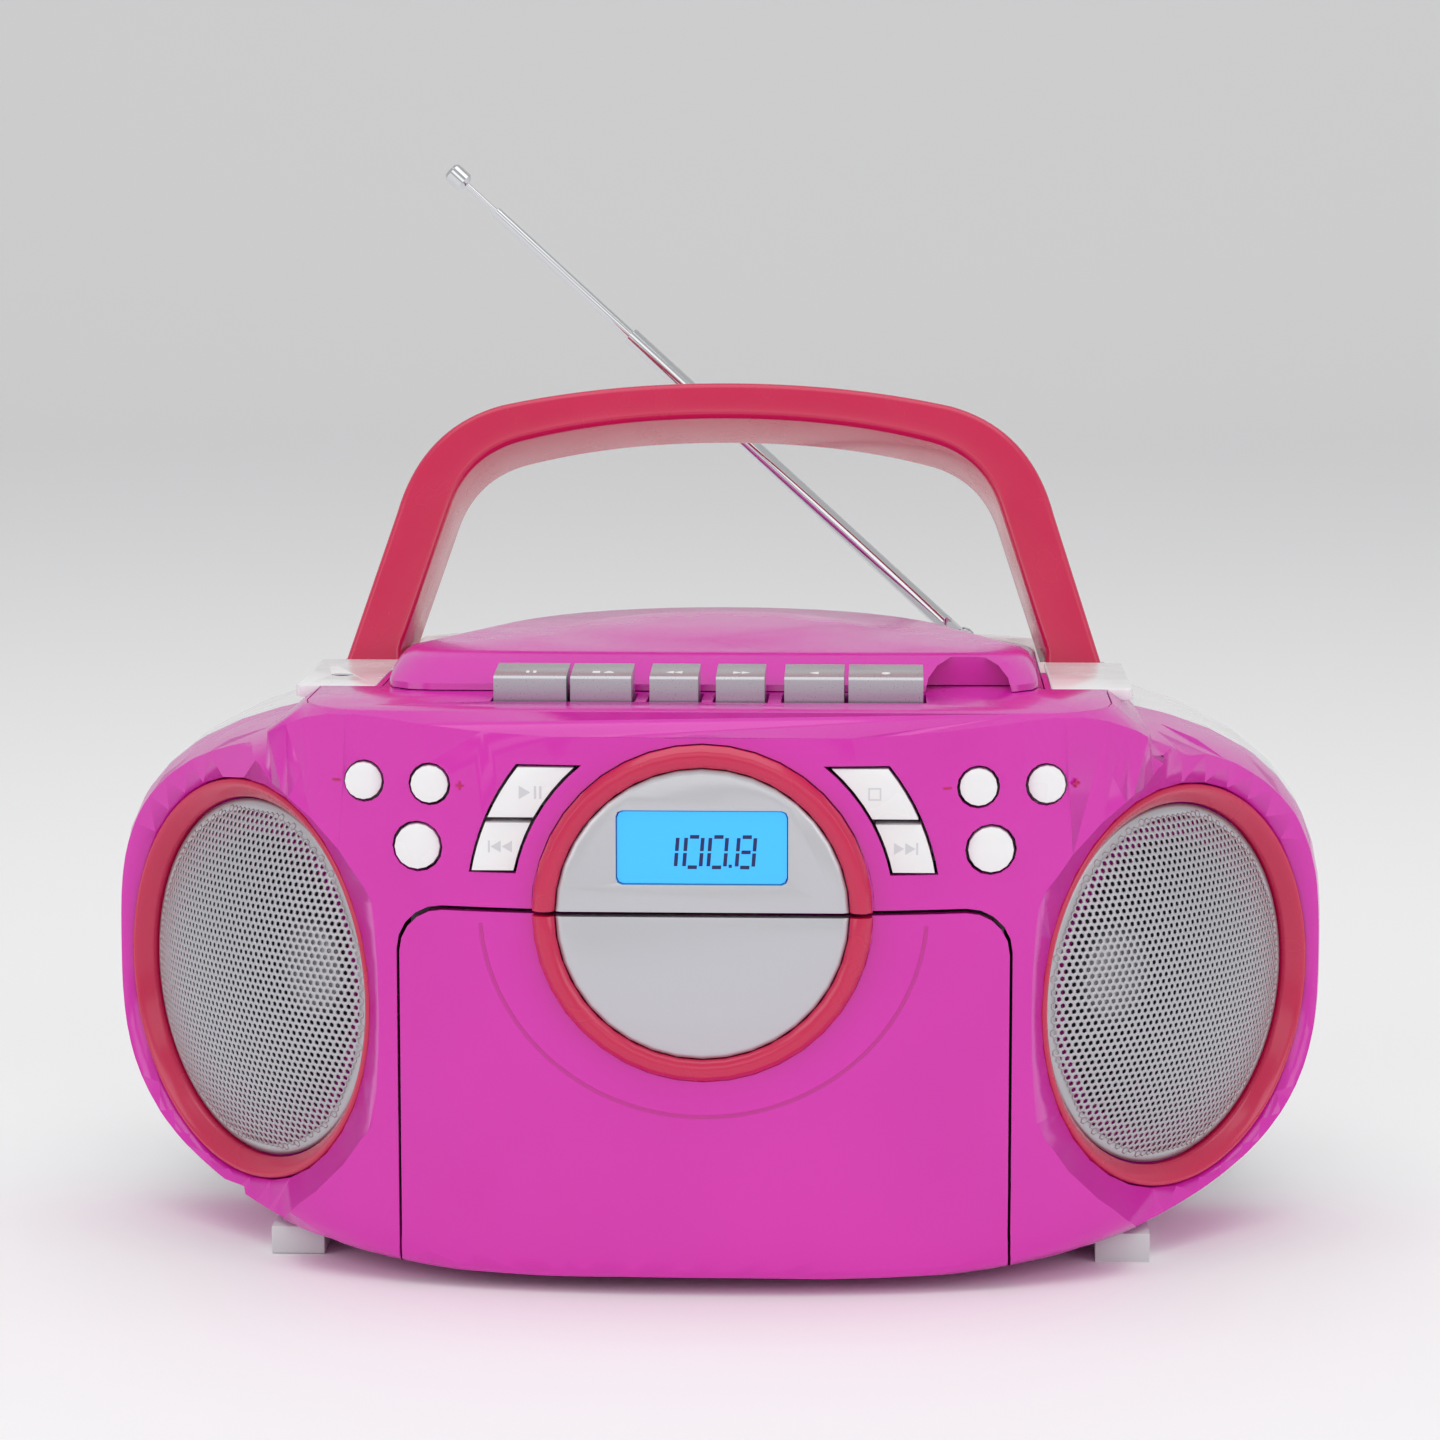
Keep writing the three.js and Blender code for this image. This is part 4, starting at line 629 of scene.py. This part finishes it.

# %% [markdown]
# ## Marks
# The keys carry raised white signs, the long buttons faint embossed ones in a grey that is painted shade of the
# relief, and the small buttons have a plus or a minus beside them. All are thin plates of the sign's outline, laid
# a few hundredths of a millimetre proud.
# The window shows a plain number in seven-bar figures.


# %% Plates and signs
def plate(name, outlines, place, body, slot_name, material, height=0.12):
    """Thin plates from flat outlines: place maps (across, up, height) arrays to points in the object."""
    points, faces = [], []
    for outline in outlines:
        outline = np.asarray(outline, float)
        n, start = len(outline), sum(len(p) for p in points)
        points += [place(outline[:, 0], outline[:, 1], np.full(n, h)) for h in (-0.3, height)]
        faces += [[start + n + i for i in range(n)], [start + i for i in range(n)][::-1]]
        faces += [[start + i, start + (i + 1) % n, start + n + (i + 1) % n, start + n + i] for i in range(n)]
    return mesh_piece(name, np.concatenate(points, 0), faces, body, slot_name, material)


def bar(x0, x1, z0, z1):
    return [[x0, z0], [x1, z0], [x1, z1], [x0, z1]]


def triangle(x, way, size=1.0):
    """A filled arrow whose point is size to the way side of x."""
    points = [[x - way * size * 0.8, -size], [x + way * size * 0.9, 0], [x - way * size * 0.8, size]]
    return points if way > 0 else points[::-1]


def disc(x, z, r, sides=20):
    angle = 2 * np.pi * np.arange(sides) / sides
    return np.stack([x + r * np.cos(angle), z + r * np.sin(angle)], -1)


WHITE_MARK = finish("ink_white_printed", "#F4F4F4", 0.5)
# Grey for the embossed button signs: painted shade of marks raised in the button's own white plastic.
EMBOSS_SHADE_MARK = finish("abs_white_embossed_painted_shade", "#D3D2D6", 0.4)
RED_MARK = finish("ink_raspberry_printed", "#C0165A", 0.45)
NAVY_MARK = finish("crystal_segments_dark", "#12205E", 0.3)

KEY_SIGNS = {
    "key_pause": [bar(-1.3, -0.5, -1.1, 1.1), bar(0.5, 1.3, -1.1, 1.1)],
    "key_stop_eject": [bar(-2.4, -0.5, -1, 0.9), [[0.6, -0.3], [3.0, -0.3], [1.8, 1.1]],
                       bar(0.6, 3.0, -1, -0.6)],
    "key_fast_forward": [triangle(-1.2, -1, 1.2), triangle(1.0, -1, 1.2)],
    "key_rewind": [triangle(-1.0, 1, 1.2), triangle(1.2, 1, 1.2)],
    "key_play": [triangle(0, -1, 1.3)],
    "key_record": [disc(0, 0, 1.1)],
}


def key_signs():
    """Signs on the sloping tops of the piano keys, near their front edge."""
    slope = (153.8 - 152.4) / (79.3 - 63.5)
    for key, outlines in KEY_SIGNS.items():
        low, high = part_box(key)
        middle = (low.x + high.x) / 2 / MM

        def place(x, up, height, middle=middle):
            return np.stack([middle + x, -74.6 + up, 152.4 + slope * (up + 4.7) + height], -1)

        plate(key + "_sign", outlines, place, BODY_OF[key], "key_silver", WHITE_MARK, 0.1)


BUTTON_SIGNS = {
    "button_disc_play": [triangle(-1.6, 1, 1.7), bar(0.8, 1.4, -1.6, 1.6), bar(2.1, 2.7, -1.6, 1.6)],
    "button_skip_back": [bar(-3.2, -2.7, -1.5, 1.5), triangle(-1.2, -1, 1.5), triangle(1.6, -1, 1.5)],
    "button_disc_stop": [bar(-1.6, 1.6, 1.2, 1.6), bar(-1.6, 1.6, -1.6, -1.2),
                         bar(-1.6, -1.2, -1.2, 1.2), bar(1.2, 1.6, -1.2, 1.2)],
    "button_skip_forward": [triangle(-1.6, 1, 1.5), triangle(1.2, 1, 1.5), bar(2.7, 3.2, -1.5, 1.5)],
}


def button_signs():
    for button, outlines in BUTTON_SIGNS.items():
        low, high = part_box(button)
        x0, z0, face = (low.x + high.x) / 2 / MM, (low.z + high.z) / 2 / MM, low.y / MM

        def place(x, up, height, x0=x0, z0=z0, face=face):
            return np.stack([x0 + x, face - height, z0 + up], -1)

        # The signs' grey is painted shade: the embossed marks are coloured as if shaded, in place of the white of
        # the button.
        plate(button + "_sign", outlines, place, BODY_OF[button], "white_shell", EMBOSS_SHADE_MARK, 0.02)


def front_y(x):
    """The front skin's depth at a distance from the middle, well inside its edges."""
    return -FRONT_DEPTH * (1 - (np.abs(x) / HALF_WIDTH) ** 2.3) ** (1 / 2.3)


def on_front(x, up, height):
    return np.stack([x, front_y(x) - height, up], -1)


def front_signs():
    """Plus and minus beside the volume and tuning buttons, printed on the cabinet."""
    signs = (("left_minus", -92.6, 0), ("left_plus", -60.6, 1), ("right_minus", 60.6, 0), ("right_plus", 92.8, 1))
    for name, x, plus in signs:
        shape = bar(x - 1.0, x + 1.0, 128.2, 128.7)
        if plus:
            shape = [[x - 1, 128.2], [x - 0.25, 128.2], [x - 0.25, 127.4], [x + 0.25, 127.4],
                     [x + 0.25, 128.2], [x + 1, 128.2], [x + 1, 128.7], [x + 0.25, 128.7],
                     [x + 0.25, 129.5], [x - 0.25, 129.5], [x - 0.25, 128.7], [x - 1, 128.7]]
        plate("sign_" + name, [shape], on_front, "cabinet", "pink_shell", RED_MARK, 0.12)


SEGMENTS = {"a": (0, 6), "b": (1, 5), "c": (1, 1), "d": (0, 0), "e": (-1, 1), "f": (-1, 5), "g": (0, 3)}
FIGURES = {"1": "bc", "0": "abcdef", "8": "abcdefg"}


def figure(symbol, x, z, height, lean=0.08):
    """Seven-bar figure: three bars across and four upright, as leaning rectangles."""
    unit, width, ink = height / 6, height * 0.27, height * 0.12
    shapes = []
    for bar_name in FIGURES[symbol]:
        side, level = SEGMENTS[bar_name]
        if side == 0:
            box = bar(-width + ink, width - ink, level * unit - ink / 2, level * unit + ink / 2)
        else:
            middle = side * width
            box = bar(middle - ink / 2, middle + ink / 2, (1.5 if level == 1 else 4.5) * unit - 1.3 * unit,
                      (1.5 if level == 1 else 4.5) * unit + 1.3 * unit)
        shapes.append([[x + px + lean * pz, z + pz] for px, pz in box])
    return shapes


def display_figures():
    low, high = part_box("lcd_panel")
    face = low.y / MM
    shapes = []
    for symbol, x in (("1", -8.6), ("0", -2.4), ("0", 3.6), ("8", 10.6)):
        shapes += figure(symbol, x, 109.4, 7.6)
    shapes.append(bar(6.6, 7.4, 109.3, 110.1))

    def place(x, up, height):
        return np.stack([x, face - height, up], -1)

    plate("display_figures", shapes, place, "cabinet", "display_window", NAVY_MARK, 0.03)


def badge_groove():
    """A thin line pressed into the door round the badge: the lower half of an ellipse of 55.7 by 51.5 mm, drawn as
    a strip whose darker pink is painted shade of the groove.
    """
    angle = np.radians(np.linspace(-176, -4, 90))
    rows = []
    for grow, lift in ((-0.55, -0.25), (-0.4, 0.1), (0.4, 0.1), (0.55, -0.25)):
        x, z = (55.7 + grow) * np.cos(angle), 97.5 + (51.5 + grow) * np.sin(angle)
        rows.append(np.stack([x, front_y(x) - lift, z], -1))
    return np.stack(rows, 0)


key_signs()
button_signs()
front_signs()
display_figures()
# Darker pink for the badge groove strip: painted shade of the pressed line, not a colour of the door's plastic.
GROOVE_SHADE = finish("abs_pink_groove_painted_shade", "#C22C93", 0.35)
grid_piece("badge_groove_shade_door", badge_groove(), "tape_door", "pink_shell", around=False, material=GROOVE_SHADE)
print("signs and figures placed")

# %% [markdown]
# ## Room, light and camera
# The player stands on a plain pale floor that curves up into a backdrop, lit by large soft boxes, as in a
# product studio. The camera has a long lens a little above the deck, slightly to the right.


# %% Floor, lights and camera
def sweep_floor():
    """A floor that runs back and curves up into a wall: a quarter circle between two straights."""
    angle = np.linspace(0, math.pi / 2, 17)
    y = np.concatenate([[-6.0], 3.0 + 1.5 * np.sin(angle), [4.5]])
    z = np.concatenate([[0.0], 1.5 - 1.5 * np.cos(angle), [8.0]])
    x = np.array([-7.0, 7.0])
    size = (2, len(y))
    columns = [np.broadcast_to(x[:, None], size), np.broadcast_to(y, size), np.broadcast_to(z, size)]
    points = np.stack(columns, -1)
    rows = len(y)
    faces = [(i, rows + i, rows + i + 1, i + 1) for i in range(rows - 1)]
    mesh = bpy.data.meshes.new("studio_floor")
    mesh.from_pydata(points.reshape(-1, 3).tolist(), [], faces)
    mesh.polygons.foreach_set("use_smooth", np.ones(len(faces), bool))
    material = finish("paper_pale", "#FBFBFC", 0.7)
    mesh.materials.append(material)
    floor = bpy.data.objects.new("studio_floor", mesh)
    bpy.context.scene.collection.objects.link(floor)


def soft_box(name, place, aim, size, watts, colour="#FFFFFF"):
    """A square area light at a place, aimed at a point, all in metres."""
    light = bpy.data.lights.new(name, "AREA")
    light.shape = "RECTANGLE"
    light.size, light.size_y = size
    light.energy = watts
    light.color = linear(colour)[:3]
    lamp = bpy.data.objects.new(name, light)
    lamp.location = place
    lamp.rotation_euler = (Vector(aim) - Vector(place)).to_track_quat("-Z", "Y").to_euler()
    bpy.context.scene.collection.objects.link(lamp)


sweep_floor()
soft_box("light_top", (0.0, -0.2, 1.9), (0, 0, 0.1), (2.2, 1.6), 13)
soft_box("light_left", (-1.7, -1.3, 1.0), (0, 0, 0.1), (1.2, 1.4), 7)
soft_box("light_right", (1.7, -1.3, 1.0), (0, 0, 0.1), (1.2, 1.4), 7)
soft_box("light_front", (0.0, -2.6, 1.1), (0, 0, 0.1), (2.4, 1.0), 6)

world = bpy.data.worlds.new("studio")
world.use_nodes = True
world.node_tree.nodes["Background"].inputs["Color"].default_value = linear("#FFFFFF")
world.node_tree.nodes["Background"].inputs["Strength"].default_value = 0.56
bpy.context.scene.world = world

DISTANCE, AZIMUTH, ELEVATION = 1.2, math.radians(2.2), math.radians(7.5)
AIM = Vector((0.0, 0.0, 0.1308))
lens = bpy.data.cameras.new("camera")
lens.lens = 110
lens.sensor_width = 36
camera = bpy.data.objects.new("camera", lens)
flat_reach = math.cos(ELEVATION)
reach = Vector((math.sin(AZIMUTH) * flat_reach, -math.cos(AZIMUTH) * flat_reach, math.sin(ELEVATION)))
camera.location = AIM + reach * DISTANCE
camera.rotation_euler = (-reach).to_track_quat("-Z", "Y").to_euler()
bpy.context.scene.collection.objects.link(camera)
bpy.context.scene.camera = camera
bpy.context.scene.view_settings.view_transform = "Standard"

# %% Update the scene
bpy.context.view_layer.update()
